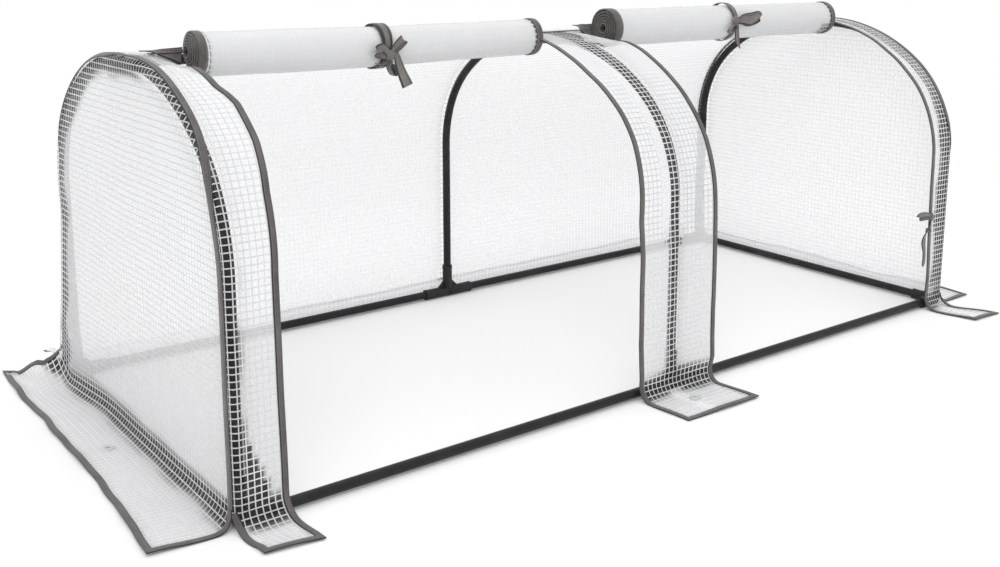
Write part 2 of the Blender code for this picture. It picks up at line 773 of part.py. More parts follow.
def spiral_point(share):
    """A point (y, z) on the roll's sheet about its axis, from the outer end at share 0.

    The sheet leaves the ridge seam behind the roll, and winds down, forward and up.
    """
    angle = -2 * math.pi * ROLL_TURNS * share
    outer = ROLL_RADIUS - ROLL_SHEET / 2
    radius = outer - (outer - ROLL_CORE) * share
    return radius * math.cos(angle), radius * math.sin(angle)


def spiral_gap():
    """The least gap between neighbouring turns of a roll's sheet."""
    count = ROLL_TURNS * ROLL_TURN_STEPS
    points = [Vector(spiral_point(k / count)) for k in range(count + 1)]
    pairs = zip(points, points[ROLL_TURN_STEPS:])
    return min((a - b).length for a, b in pairs) - ROLL_SHEET


def make_roll(name, x0, x1, material):
    """A door wound up in one sheet, as long as its opening is wide."""
    count = ROLL_TURNS * ROLL_TURN_STEPS
    axis = Vector((0, -ROLL_SETBACK, ROLL_HEIGHT))
    bm = bmesh.new()
    ends = []
    for x in (x0, x1):
        outer = []
        inner = []
        for k in range(count + 1):
            y, z = spiral_point(k / count)
            middle = Vector((0, y, z))
            out = middle.normalized() * (ROLL_SHEET / 2)
            outer.append(bm.verts.new(axis + middle + out + X_AXIS * x))
            inner.append(bm.verts.new(axis + middle - out + X_AXIS * x))
        for k in range(count):
            bm.faces.new((outer[k], outer[k + 1], inner[k + 1], inner[k]))
        ends.append(outer + inner[::-1])
    bridge(bm, *ends)
    return finish_mesh(name, bm, material)


def make_ribbon(name, points, wide, width, material):
    """A ribbon along points, with its flat width along wide. It is joined to a knot later."""
    half = width / 2
    thin = RIBBON / 2
    stations = []
    for k, point in enumerate(points):
        before = points[max(k - 1, 0)]
        after = points[min(k + 1, len(points) - 1)]
        direction = (after - before).normalized()
        stations.append((point, wide, direction.cross(wide).normalized()))
    profile = ((-half, -thin), (half, -thin), (half, thin), (-half, thin))
    return make_sweep(name, stations, profile, material)


def make_knot(name, middle, axes, sizes, material):
    """A block with one size along each of three axes."""
    half_u = sizes[0] / 2
    half_v = sizes[1] / 2
    profile = ((-half_u, -half_v), (half_u, -half_v), (half_u, half_v), (-half_u, half_v))
    ends = [middle + axes[2] * (sizes[2] * end / 2) for end in (-1, 1)]
    stations = [(end, axes[0], axes[1]) for end in ends]
    return make_sweep(name, stations, profile, material, smooth=False)


def loop_points(root, reach, out, length, height):
    """A drop-shaped loop that leaves a knot along reach and comes back to it."""
    return [root + reach * (length * s) + out * (height * h) for s, h in BOW_LOOP_SHARES]


def tail_points(root, down, swing, length):
    """A ribbon's tail that hangs from a knot and swings a little to one side."""
    points = []
    for k in range(TAIL_STEPS + 1):
        share = k / TAIL_STEPS
        points.append(root + (down * share + swing * share**2) * length)
    return points


def make_door_tie(name, x, material):
    """A ribbon round a roll, knotted in a bow below the roll's front."""
    axis = Vector((x, -ROLL_SETBACK, ROLL_HEIGHT))
    inner = ROLL_RADIUS + FIT_GAP
    half = RIBBON_WIDTH / 2
    outer = inner + RIBBON
    profile = ((inner, -half), (outer, -half), (outer, half), (inner, half))
    band = make_turned(name, axis, X_AXIS, Y_AXIS, profile, RIBBON_STEPS, material)
    out = Vector((0, -math.cos(BOW_DROP), -math.sin(BOW_DROP)))
    rise = Vector((0, -math.sin(BOW_DROP), math.cos(BOW_DROP)))
    root = axis + out * outer
    middle = root + out * (KNOT_PROUD / 2 - RIBBON / 2)
    sizes = (KNOT_ACROSS, KNOT_ALONG, KNOT_PROUD)
    pieces = [make_knot(f"{name}_knot", middle, (X_AXIS, rise, out), sizes, material)]
    for side, climb in ((1, RIGHT_LOOP_CLIMB), (-1, LEFT_LOOP_CLIMB)):
        reach = X_AXIS * (side * math.cos(climb)) + rise * math.sin(climb)
        points = loop_points(root, reach, out, BOW_LOOP, BOW_LOOP_HEIGHT)
        wide = out.cross(reach).normalized()
        pieces.append(make_ribbon(f"{name}_loop_{side}", points, wide, BOW_WIDTH, material))
    for side, length in ((1, LONG_TAIL), (-1, SHORT_TAIL)):
        start = middle + X_AXIS * (side * KNOT_ACROSS / 4)
        points = tail_points(start, -Z_AXIS, X_AXIS * (side * TAIL_SWING_SHARE), length)
        width = BOW_WIDTH * (1 - TAIL_SWING_SHARE) if side < 0 else BOW_WIDTH
        pieces.append(make_ribbon(f"{name}_tail_{side}", points, X_AXIS, width, material))
    for piece in pieces:
        add_boolean(band, piece, "UNION")
    return band


def make_side_tie(name, x_edge, material):
    """A small tie sewn to the inner edge of a strip's tape, with one loop and a tail."""
    x = x_edge - TAPE_CLEAR - FIT_GAP - SIDE_TIE_KNOT / 2
    root = Vector((x, -(HALF_WIDTH + FILM_OFFSET), SIDE_TIE_HEIGHT))
    sizes = (SIDE_TIE_KNOT, SIDE_TIE_WIDTH + RIBBON, SIDE_TIE_KNOT * 2)
    knot = make_knot(name, root, (X_AXIS, Y_AXIS, Z_AXIS), sizes, material)
    points = loop_points(root, -X_AXIS, Z_AXIS, SIDE_TIE_LOOP, SIDE_TIE_LOOP_HEIGHT)
    add_boolean(
        knot, make_ribbon(f"{name}_loop", points, Y_AXIS, SIDE_TIE_WIDTH, material), "UNION"
    )
    points = tail_points(root, -Z_AXIS, -X_AXIS * SIDE_TIE_LEAN_SHARE, SIDE_TIE_TAIL)
    tail = make_ribbon(f"{name}_tail", points, Y_AXIS, SIDE_TIE_WIDTH - RIBBON, material)
    add_boolean(knot, tail, "UNION")
    return knot


def make_rolls(film, tape):
    print(f"door roll: least gap between its turns {spiral_gap() * 1000:.2f} mm")
    outer = HOOP_SPACING - END_STRIP - TAPE_CLEAR - ROLL_END_GAP
    inner = MIDDLE_STRIP / 2 + TAPE_CLEAR + ROLL_END_GAP
    for name, x0, x1 in (("left", -outer, -inner), ("right", inner, outer)):
        roll = make_roll(f"door_roll_{name}", x0, x1, film)
        tie = make_door_tie(f"door_tie_{name}", (x0 + x1) / 2, tape)
        place = Vector(((x0 + x1) / 2, -RIDGE_TAPE_FRONT, ROLL_HEIGHT))
        hang_on(make_hinge(f"roll_swing_{name}", place), roll, tie)


def main():
    clear_scene()
    steel = make_material("black_powder_coat", (0.012, 0.012, 0.013), 0.42)
    plastic = make_material("black_plastic", (0.018, 0.018, 0.019), 0.5)
    film = make_material("scrim_film", (0.86, 0.87, 0.88), 0.35, alpha=0.45)
    tape = make_material("taupe_tape", (0.125, 0.11, 0.10), 0.85)
    clear = make_material("clear_plastic", (0.85, 0.86, 0.86), 0.15, alpha=0.6)
    make_frame(steel, plastic)
    make_cover(film, tape, clear)
    make_rolls(film, tape)
    make_side_tie("side_tie_right", HOOP_SPACING - END_STRIP, tape)


main()
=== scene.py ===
import math

import bmesh
import bpy
import numpy as np
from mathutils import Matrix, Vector


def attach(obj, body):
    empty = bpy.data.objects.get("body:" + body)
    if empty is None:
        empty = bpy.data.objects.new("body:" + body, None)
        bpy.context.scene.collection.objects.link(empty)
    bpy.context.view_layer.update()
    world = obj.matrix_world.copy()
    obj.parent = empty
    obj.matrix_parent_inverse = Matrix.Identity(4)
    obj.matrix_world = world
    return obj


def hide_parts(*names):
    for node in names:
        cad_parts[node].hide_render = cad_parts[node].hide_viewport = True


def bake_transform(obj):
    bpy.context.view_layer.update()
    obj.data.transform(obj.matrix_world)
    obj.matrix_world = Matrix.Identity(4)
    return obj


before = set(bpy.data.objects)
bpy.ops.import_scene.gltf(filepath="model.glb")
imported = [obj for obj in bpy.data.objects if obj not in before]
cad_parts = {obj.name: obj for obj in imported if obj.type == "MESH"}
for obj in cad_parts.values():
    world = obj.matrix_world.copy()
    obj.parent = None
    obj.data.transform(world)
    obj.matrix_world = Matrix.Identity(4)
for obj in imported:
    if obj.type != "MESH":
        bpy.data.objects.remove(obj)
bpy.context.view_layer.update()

# Sizes that the CAD source gives its parts
HOOP_SPACING = 0.80
HALF_WIDTH = 0.34
LEG_LENGTH = 0.325
SHOULDER_RADIUS = 0.22
SHOULDER_TURN = math.radians(51.12)
CREST_RUN = 0.035
TUBE_RADIUS = 0.008
SLEEVE_RADIUS = 0.0105
COLLAR_RADIUS = 0.011
COLLAR_LENGTH = 0.007
T_ARM = 0.060
CORNER_ARM = 0.050
RIDGE_ARM = 0.045
STEM_HEIGHT = 0.058
WEB_REACH = 0.038
WEB_THICKNESS = 0.004
AXIS_HEIGHT = COLLAR_RADIUS
FILM_OFFSET = 0.0117
FILM_OUTSIDE = 0.0121
ROOT_RADIUS = 0.0265
GROUND_FILM = 0.0016
ROOT_TOP = GROUND_FILM + ROOT_RADIUS
ROOT_END = FILM_OFFSET + ROOT_RADIUS
SKIRT_REACH = 0.108
SKIRT_FLARE = 0.094
EDGE_REACH = SKIRT_REACH - 0.0012
END_STRIP = 0.070
MIDDLE_STRIP = 0.180
SEAM_SETBACK = 0.023
RIDGE_TAPE_WIDTH = 0.014
TAPE_DEPTH = 0.012
EYELET_SETBACK = 0.060
ROLL_CORE = 0.0075
ROLL_TURNS = 6
ROLL_SETBACK = 0.0651
TIE_X = 0.41

CROWN_SHIFT = (HALF_WIDTH - SHOULDER_RADIUS - CREST_RUN) / math.cos(SHOULDER_TURN)
CROWN_RADIUS = SHOULDER_RADIUS + CROWN_SHIFT
ARCH_RISE = LEG_LENGTH + CROWN_RADIUS - CROWN_SHIFT * math.sin(SHOULDER_TURN)
SHOULDER_Q = HALF_WIDTH - SHOULDER_RADIUS
SHOULDER_Z = AXIS_HEIGHT + LEG_LENGTH
CREST_AXIS = AXIS_HEIGHT + ARCH_RISE
CROWN_Z = CREST_AXIS - CROWN_RADIUS
CREST_FILM = CREST_AXIS + FILM_OFFSET
ROLL_HEIGHT = CREST_FILM + 0.0012
ROLL_GAP = 0.0027
ROLL_OUTER = HOOP_SPACING - END_STRIP - ROLL_GAP
ROLL_INNER = MIDDLE_STRIP / 2 + ROLL_GAP
QUARTER = FILM_OFFSET * math.pi / 2  # of the way round a tube, along the film

# Sizes of the picture alone
MM = 0.001
SEAT = 0.0098  # where the tubes end inside the connectors
PITCH = 0.010  # of the scrim's threads
FILM_STEP = 0.006  # between points down the film
COLUMN_STEP = 0.0075  # between points along the film
LAID_HEIGHT = 0.02  # film lower than this lies on the ground
FOLD_Y = HALF_WIDTH + ROOT_END + 0.0003
FOLD_X = HOOP_SPACING + ROOT_END + 0.0003
FOLD_HALF = 0.001  # half the width over which a fold blends
STRIP_TOP = 0.030  # from the ridge to where the strips' side tapes start
HOLE_RADIUS = 0.0058
HOLE_REACH = 0.0115  # of the faces that a hole's ring takes the place of
TAPE_SPAN = 0.012  # of a tape's plane coordinate across it
ROLL_FORWARD = 0.0025  # of the rolls, before the CAD's
ROLL_MOUTH = 0.0115  # how deep the dark tape at a roll's end hides its film
BOW_OFF = 0.0040  # of the bows, before their bands

FRONT, BACK = -1, 1
SIDES = ((FRONT, "front"), (BACK, "back"))
ENDS = ((-1, "left"), (1, "right"))
HOOPS = ((-HOOP_SPACING, "left"), (0.0, "middle"), (HOOP_SPACING, "right"))
ROOT_BODY = "frame_and_cover"
X, Y, Z = np.eye(3)


# Materials


class Shader:
    """A node tree with short ways to add nodes to it."""

    def __init__(self, tree):
        self.tree = tree

    def link(self, source, target):
        self.tree.links.new(source, target)

    def add(self, kind, inputs=(), output=0, **settings):
        """Adds a node. Its inputs, named or numbered, get values or other nodes' outputs."""
        node = self.tree.nodes.new("ShaderNode" + kind)
        for key, value in settings.items():
            setattr(node, key, value)
        for key, value in dict(inputs).items():
            if isinstance(value, bpy.types.NodeSocket):
                self.link(value, node.inputs[key])
            else:
                node.inputs[key].default_value = value
        return node.outputs[output]

    def math(self, operation, *values, clamp=False):
        values = (values + (0.0, 0.0))[:3]
        return self.add("Math", enumerate(values), operation=operation, use_clamp=clamp)

    def total(self, *terms):
        """The sum of values, each times its weight."""
        value = 0.0
        for term, weight in terms:
            value = self.math("MULTIPLY_ADD", term, weight, value)
        return value

    def off_line(self, value, pitch):
        """0 half way between lines a pitch apart, 0.5 on them."""
        share = self.math("FRACT", self.math("DIVIDE", value, pitch))
        return self.math("ABSOLUTE", self.math("SUBTRACT", share, 0.5))

    def ramp(self, value, low, high, start=0.0, end=1.0):
        """A smooth step from start, where value is low, to end, where it is high."""
        return self.add("MapRange", enumerate((value, low, high, start, end)), interpolation_type="SMOOTHSTEP")

    def colour(self, factor, first, second):
        first, second = [(*c, 1.0) if isinstance(c, tuple) else c for c in (first, second)]
        return self.add("Mix", {0: factor, 6: first, 7: second}, 2, data_type="RGBA")

    def noise(self, vector, scale, detail=2.0, roughness=0.5):
        inputs = {"Vector": vector, "Scale": scale, "Detail": detail, "Roughness": roughness}
        return self.add("TexNoise", inputs, "Fac")

    def object_place(self):
        return self.add("TexCoord", output="Object")

    def split(self, vector):
        first = self.add("SeparateXYZ", {0: vector})
        return first, first.node.outputs[1]

    def flat_place(self):
        return self.split(self.add("UVMap", output="UV", uv_map="UVMap"))

    def attribute(self, name):
        return self.add("Attribute", output="Fac", attribute_name=name)

    def bump(self, height, distance, strength):
        inputs = {"Strength": strength, "Distance": distance, "Height": height}
        return self.add("Bump", inputs, "Normal")

    def mix_shaders(self, factor, first, second):
        return self.add("MixShader", enumerate((factor, first, second)))

    def seen_rays(self):
        """A value that is 1 for what the camera sees, also in gloss and through clear things."""
        path = self.add("LightPath", output="Is Camera Ray").node.outputs
        more = self.math("ADD", path["Is Glossy Ray"], path["Is Transmission Ray"])
        return self.math("ADD", path["Is Camera Ray"], more, clamp=True)


class Surface(Shader):
    """A new material, with its principled shader's inputs given."""

    def __init__(self, name):
        self.material = bpy.data.materials.new(name)
        self.material.use_nodes = True
        super().__init__(self.material.node_tree)
        self.principled = self.tree.nodes["Principled BSDF"]
        self.shader = self.principled.outputs[0]

    def give(self, **inputs):
        for name, value in inputs.items():
            socket = self.principled.inputs[name.replace("_", " ")]
            if isinstance(value, bpy.types.NodeSocket):
                self.link(value, socket)
            else:
                socket.default_value = value

    def end(self, shader):
        self.link(shader, self.tree.nodes["Material Output"].inputs["Surface"])


def black_material(name, grain, patches, span, dark, light, rough, gloss, relief):
    """Black coat or plastic: a fine grain, and patches where it is duller and lighter."""
    s = Surface(name)
    place = s.object_place()
    grain = s.noise(place, *grain)
    dust = s.noise(place, *patches)
    if span is not None:
        dust = s.ramp(dust, *span)
    s.give(Base_Color=s.colour(dust, dark, light), Roughness=s.math("MULTIPLY_ADD", dust, *rough))
    s.give(Specular_IOR_Level=gloss, Normal=s.bump(grain, *relief))
    return s.material


def film_material(name, glow):
    """Clear film laminated over a white scrim. The film's own attributes say how clear it is and how light its
    windows and threads are painted, painted shade included.
    """
    s = Surface(name)
    place = s.object_place()
    lines = []
    for along, size in zip(s.flat_place(), (9.0, 11.0)):
        along = s.math("MULTIPLY_ADD", s.noise(place, size), 0.0016, along)
        lines.append(s.math("SUBTRACT", 0.5, s.off_line(along, PITCH)))
    nearest = s.math("MINIMUM", *lines)
    thread = s.ramp(nearest, 0.070, 0.120, 1.0, 0.0)
    round_thread = s.ramp(nearest, 0.0, 0.13, 1.0, 0.0)
    fibres = s.noise(place, 1600.0)
    blotches = s.noise(place, 34.0, 3.0, 0.6)
    clear = s.math("MULTIPLY_ADD", s.math("SUBTRACT", blotches, 0.5), 0.16, s.attribute("clear"))
    clear = s.math("MINIMUM", s.math("MAXIMUM", clear, 0.0), 1.0)
    cover = s.math("MAXIMUM", s.math("MULTIPLY", thread, 0.96), s.math("SUBTRACT", 1.0, clear))
    window = s.attribute("window")
    step = s.math("SUBTRACT", s.attribute("thread"), window)
    tone = s.math("MULTIPLY_ADD", step, thread, window)
    gloss = s.ramp(blotches, 0.35, 0.65, 0.16, 0.34)
    relief = s.total((round_thread, 1.0), (fibres, 0.02), (blotches, 0.4))
    s.give(
        Base_Color=s.colour(tone, (0.0, 0.0, 0.0), (0.990, 0.995, 1.0)),
        Roughness=s.math("MAXIMUM", gloss, s.math("MULTIPLY", thread, 0.5)),
        Normal=s.bump(relief, 0.00030, 0.4),
    )
    through = s.add("BsdfTranslucent", {"Color": s.colour(tone, (0.0, 0.0, 0.0), (0.985, 0.990, 1.0))})
    body = s.mix_shaders(glow, s.shader, through)
    s.end(s.mix_shaders(cover, s.add("BsdfTransparent"), body))
    return s.material


def tape_material(name, dark, light, rib_pitch):
    """Woven tape: cross ribs, a row of stitches near each edge, and painted shade along both long edges."""
    s = Surface(name)
    place = s.object_place()
    across, along = s.flat_place()
    weave = s.total((s.off_line(along, rib_pitch), 1.0), (s.off_line(across, rib_pitch * 0.8), 1.0))
    patches = s.noise(place, 26.0, 3.0, 0.6)
    lint = s.noise(place, 700.0)
    tone = s.ramp(s.total((patches, 0.60), (lint, 0.45), (weave, 0.16)), 0.35, 0.85)
    row = s.math("SUBTRACT", s.math("ABSOLUTE", s.math("ADD", across, 0.0054)), 0.0040)
    in_row = s.ramp(s.math("ABSOLUTE", row), 0.00030, 0.00050, 1.0, 0.0)
    dash = s.ramp(s.off_line(along, 0.0034), 0.34, 0.40, 1.0, 0.0)
    stitch = s.math("MULTIPLY", in_row, dash)
    # Painted shade: the tape goes nearly black along both long edges of each face.
    border = s.math("ABSOLUTE", s.math("ADD", across, TAPE_SPAN / 2))
    border = s.ramp(border, 0.0030, 0.0043, 0.0, 0.90)
    base = s.colour(border, s.colour(tone, dark, light), (0.012, 0.011, 0.010))
    s.give(
        Base_Color=s.colour(stitch, base, (0.20, 0.185, 0.175)),
        Roughness=s.math("MULTIPLY_ADD", lint, 0.2, 0.68),
        Sheen_Weight=0.25,
        Sheen_Roughness=0.5,
        Normal=s.bump(s.total((weave, 0.6), (stitch, 0.8), (lint, 0.3)), 0.00030, 0.8),
    )
    return s.material


def clear_material():
    """Clear moulded plastic of the eyelets, a little scuffed."""
    s = Surface("clear_plastic")
    scuffs = s.noise(s.object_place(), 260.0, 3.0)
    s.give(
        Base_Color=(0.74, 0.75, 0.76, 1.0),
        IOR=1.55,
        Roughness=s.ramp(scuffs, 0.4, 0.7, 0.08, 0.30),
        Normal=s.bump(scuffs, 0.00008, 0.5),
    )
    s.end(s.mix_shaders(s.ramp(scuffs, 0.3, 0.8, 0.70, 0.90), s.add("BsdfTransparent"), s.shader))
    return s.material


TUBE = black_material(
    "powder_coat", (900.0, 2.0), (14.0, 3.0), (0.45, 0.75), (0.009, 0.009, 0.010), (0.020, 0.020, 0.021),
    (0.16, 0.34), 0.28, (0.00012, 0.6),
)
PLASTIC = black_material(
    "moulded_plastic", (1400.0, 1.0), (40.0, 2.0), None, (0.010, 0.010, 0.011), (0.022, 0.022, 0.023),
    (0.15, 0.40), 0.30, (0.00010, 0.7),
)
FILM = film_material("scrim_film", 0.50)
ROLLED = film_material("rolled_film", 0.30)
TAPE = tape_material("binding_tape", (0.050, 0.046, 0.044), (0.132, 0.122, 0.117), 0.0011)
RIBBON = tape_material("tie_ribbon", (0.095, 0.087, 0.083), (0.195, 0.180, 0.172), 0.0014)
CLEAR = clear_material()


# Meshes


def unit(vectors):
    vectors = np.asarray(vectors, float)
    return vectors / np.maximum(np.linalg.norm(vectors, axis=-1, keepdims=True), 1e-12)


def step_up(value, low, high):
    t = np.clip((np.asarray(value, float) - low) / (high - low), 0, 1)
    return t * t * (3 - 2 * t)


def lengths(points):
    """How far along a line each of its points lies."""
    steps = np.linalg.norm(np.diff(points, axis=0), axis=1)
    return np.concatenate([[0.0], np.cumsum(steps)])


def spaced(start, end, count, first=0, last=False):
    return [start + (end - start) * k / count for k in range(first, count + last)]


def make_piece(name, points, faces, material, flat=None, sharp=None):
    mesh = bpy.data.meshes.new(name)
    mesh.from_pydata([tuple(map(float, p)) for p in points], [], [tuple(f) for f in faces])
    mesh.materials.append(material)
    if flat is not None:
        layer = mesh.uv_layers.new(name="UVMap")
        corner = np.empty(len(mesh.loops), np.int32)
        mesh.loops.foreach_get("vertex_index", corner)
        layer.data.foreach_set("uv", np.asarray(flat, np.float32)[corner].ravel())
    mesh.shade_smooth()
    if sharp is not None:
        mesh.set_sharp_from_angle(angle=math.radians(sharp))
    made = bpy.data.objects.new(name, mesh)
    bpy.context.scene.collection.objects.link(made)
    return made


def grid_faces(rows, columns, flip=False):
    faces = []
    for a in (r * columns + c for r in range(rows - 1) for c in range(columns - 1)):
        face = (a, a + 1, a + columns + 1, a + columns)
        faces.append(face[::-1] if flip else face)
    return faces


def closed_loops(name, loops, material, flat=None, sharp=None, round_way=False):
    """A skin over closed loops of as many points, capped at both ends or joined to itself."""
    count = len(loops[0])
    points = [p for loop in loops for p in loop]
    faces = []
    for r in range(len(loops) - (not round_way)):
        a, b = r * count, ((r + 1) % len(loops)) * count
        for k in range(count):
            after = (k + 1) % count
            faces.append((a + k, b + k, b + after, a + after))
    if not round_way:
        faces.append(tuple(range(count)))
        faces.append(tuple(range(len(points) - 1, len(points) - count - 1, -1)))
    made = make_piece(name, points, faces, material, flat, sharp)
    bm = bmesh.new()
    bm.from_mesh(made.data)
    bmesh.ops.recalc_face_normals(bm, faces=bm.faces)
    bm.to_mesh(made.data)
    bm.free()
    return made


def join(name, pieces):
    """One mesh object of several, in the material order that they bring."""
    first = pieces[0]
    bpy.context.view_layer.update()
    with bpy.context.temp_override(
        active_object=first, object=first, selected_objects=pieces, selected_editable_objects=pieces
    ):
        bpy.ops.object.join()
    first.name = first.data.name = name
    return first


def assign(made, slot, *nodes, body=ROOT_BODY):
    """Says what a piece rides on and which nodes it replaces. Its slot, what it is made of, is not used."""
    if body is not None:
        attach(made, body)
    if nodes:
        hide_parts(*nodes)
    return made


def fold_at(made, axis, fold):
    """Works out where a piece's skirt or flap folds, which nothing uses, and bakes the piece's transform."""
    start, end = [0.0, 0.0, GROUND_FILM], [0.0, 0.0, GROUND_FILM]
    start[axis] = math.copysign(abs(fold) - FOLD_HALF, fold)
    end[axis] = math.copysign(abs(fold) + FOLD_HALF, fold)
    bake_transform(made)


# The arch


def on_arch(angle, offset=0.0):
    """A place off the arch's axis at an angle from level, and the way out of it: q, z, nq, nz."""
    c, s = math.cos(angle), math.sin(angle)
    if angle < SHOULDER_TURN:
        radius = SHOULDER_RADIUS + offset
        return SHOULDER_Q + radius * c, SHOULDER_Z + radius * s, c, s
    radius = CROWN_RADIUS + offset
    return CREST_RUN + radius * c, CROWN_Z + radius * s, c, s


CROWN_TURN = math.pi / 2 - SHOULDER_TURN


def arch_axis():
    """The axis of a hoop from the foot of the front leg over to the back one: y, z, ny, nz."""
    count = int((SHOULDER_Z - ROOT_TOP) / FILM_STEP) + 1
    half = [(HALF_WIDTH, z, 1.0, 0.0) for z in spaced(ROOT_TOP, SHOULDER_Z, count)]
    count = int(SHOULDER_TURN * SHOULDER_RADIUS / FILM_STEP) + 1
    half += [on_arch(a) for a in spaced(0.0, SHOULDER_TURN, count)]
    count = int(CROWN_TURN * CROWN_RADIUS / FILM_STEP) + 1
    half += [on_arch(a) for a in spaced(SHOULDER_TURN, math.pi / 2, count, last=True)]
    half += [(q, CREST_AXIS, 0.0, 1.0) for q in spaced(CREST_RUN, 0.0, int(CREST_RUN / FILM_STEP), 1)]
    front = [(-q, z, -nq, nz) for q, z, nq, nz in half]
    return np.array(front + [(0.0, CREST_AXIS, 0.0, 1.0)] + half[::-1])


def root_path():
    """The curve from a wall to the ground, with both its ends."""
    path = []
    count = int(math.pi / 2 * ROOT_RADIUS / FILM_STEP) + 3
    for a in spaced(math.pi, 1.5 * math.pi, count, last=True):
        c, s = math.cos(a), math.sin(a)
        path.append((HALF_WIDTH + ROOT_END + ROOT_RADIUS * c, ROOT_TOP + ROOT_RADIUS * s, -c, -s))
    return path


def cover_path(start_q, end_q):
    """The film's middle from the crest down one wall and out along the ground: q, z, nq, nz."""
    count = max(int((CREST_RUN - start_q) / FILM_STEP), 2)
    path = [(q, CREST_FILM, 0.0, 1.0) for q in spaced(start_q, CREST_RUN, count)]
    count = int(CROWN_TURN * (CROWN_RADIUS + FILM_OFFSET) / FILM_STEP)
    path += [on_arch(a, FILM_OFFSET) for a in spaced(math.pi / 2, SHOULDER_TURN, count)]
    count = int(SHOULDER_TURN * (SHOULDER_RADIUS + FILM_OFFSET) / FILM_STEP)
    path += [on_arch(a, FILM_OFFSET) for a in spaced(SHOULDER_TURN, 0.0, count)]
    count = int((SHOULDER_Z - ROOT_TOP) / FILM_STEP)
    path += [(HALF_WIDTH + FILM_OFFSET, z, 1.0, 0.0) for z in spaced(SHOULDER_Z, ROOT_TOP, count)]
    path += root_path()
    start = HALF_WIDTH + ROOT_END
    count = int((end_q - start) / FILM_STEP)
    path += [(q, GROUND_FILM, 0.0, 1.0) for q in spaced(start, end_q, count, 1, True)]
    return np.array(path)


AXIS = arch_axis()


def tube_lines():
    """Every tube and sleeve: its line, its radius, and whether it lies in the base."""
    lines = []

    def add(line, radius, low=False):
        lines.append((np.array(line, float), radius, low))

    far = HOOP_SPACING
    for x, _ in HOOPS:
        hoop = [(x, station[0], station[1]) for station in AXIS]
        feet = [[(x, y, AXIS_HEIGHT)] for y in (-HALF_WIDTH, HALF_WIDTH)]
        add(feet[0] + hoop + feet[1], TUBE_RADIUS)
        for y in (-HALF_WIDTH, HALF_WIDTH):
            add([(x, y, AXIS_HEIGHT), (x, y, AXIS_HEIGHT + STEM_HEIGHT)], COLLAR_RADIUS)
            reach = T_ARM if x == 0 else CORNER_ARM
            add([(e, y, AXIS_HEIGHT) for e in (max(x - reach, -far), min(x + reach, far))], COLLAR_RADIUS, True)
        add([(x, -CREST_RUN, CREST_AXIS), (x, CREST_RUN, CREST_AXIS)], COLLAR_RADIUS)
        add([(e, 0, CREST_AXIS) for e in (max(x - RIDGE_ARM, -far), min(x + RIDGE_ARM, far))], COLLAR_RADIUS)
    add([(-far, 0, CREST_AXIS), (far, 0, CREST_AXIS)], TUBE_RADIUS)
    for y in (-HALF_WIDTH, HALF_WIDTH):
        add([(-far, y, AXIS_HEIGHT), (far, y, AXIS_HEIGHT)], TUBE_RADIUS, True)
    for x in (-far, far):
        add([(x, -HALF_WIDTH, AXIS_HEIGHT), (x, HALF_WIDTH, AXIS_HEIGHT)], TUBE_RADIUS, True)
    return lines


LINES = tube_lines()


def tube_gap(points, base=None):
    """The distance to the nearest tube or sleeve, or to those of the base or the hoops alone."""
    points = np.asarray(points, float).reshape(-1, 3)
    nearest = np.full(len(points), 9.0)
    for line, radius, low in LINES:
        if base is not None and low != base:
            continue
        for a, b in zip(line, line[1:]):
            d = b - a
            t = np.clip((points - a) @ d / (d @ d), 0, 1)
            nearest = np.minimum(nearest, np.linalg.norm(points - a - t[:, None] * d, axis=1) - radius)
    return nearest


def ripple(points, size, seed):
    """Smooth waves from -1 to 1 over the given size."""
    points = np.asarray(points, float)
    total = np.zeros(points.shape[:-1])
    turn = np.random.default_rng(seed)
    for _ in range(5):
        way = unit(turn.normal(size=3)) * (2 * math.pi / size) * turn.uniform(0.6, 1.5)
        total += np.sin(points @ way + turn.uniform(0, 6.28))
    return total / 3.2


# How the film lies


def slacken(points, normals):
    """Film between the tubes isn't quite flat, and its skirts don't lie quite level."""
    free = step_up(tube_gap(points).reshape(points.shape[:-1]), 0.012, 0.070)
    waves = 0.0016 * ripple(points, 0.26, 3) + 0.0007 * ripple(points, 0.075, 4)
    moved = points + normals * (free * waves)[..., None]
    x, y, z = np.moveaxis(points, -1, 0)
    out = np.maximum(np.abs(x) - HOOP_SPACING, np.abs(y) - HALF_WIDTH)
    laid = step_up(out, ROOT_END, SKIRT_REACH - 0.02) * (z < 0.004)
    lift = 0.0030 * laid * (0.55 + 0.75 * ripple(points, 0.13, 5))
    moved[..., 2] = np.where(z < 0.004, z + np.maximum(lift, 0), moved[..., 2])
    aside = 0.0016 * laid * ripple(points, 0.11, 6)
    moved[..., 0] += aside * (np.abs(x) > HOOP_SPACING)
    moved[..., 1] += aside * (np.abs(y) > HALF_WIDTH)
    return moved


def seam_turn(z, side):
    """How far round a hoop's tube, from its end face, the arch seam lies at that height."""
    if side == BACK:
        return np.full(np.shape(z), math.radians(86))
    return math.radians(8) + math.radians(78) * step_up(z, 0.410, 0.545)


# Heights, and how far a strip's free edge stands aside there
LEFT_EDGE = (
    (0.0, 0.03, 0.34, 0.44, 0.50, 0.545, 0.556, 0.565, 0.585, 0.60),
    (0.0, -0.004, -0.008, -0.004, 0.005, 0.006, 0.001, -0.006, -0.008, -0.003),
)
MIDDLE_LEFT = (
    (0.0, 0.04, 0.10, 0.25, 0.31, 0.38, 0.44, 0.49, 0.54, 0.60),
    (0.006, 0.007, 0.003, 0.003, -0.002, -0.001, 0.001, -0.003, -0.008, -0.009),
)
MIDDLE_RIGHT = (
    (0.0, 0.04, 0.16, 0.24, 0.31, 0.38, 0.46, 0.54, 0.60),
    (-0.006, 0.007, 0.007, 0.004, 0.0, -0.004, -0.009, -0.012, -0.010),
)
RIGHT_EDGE = ((0.0, 0.07, 0.20, 0.28, 0.40, 0.60), (0.016, 0.017, 0.013, 0.009, 0.002, 0.0))

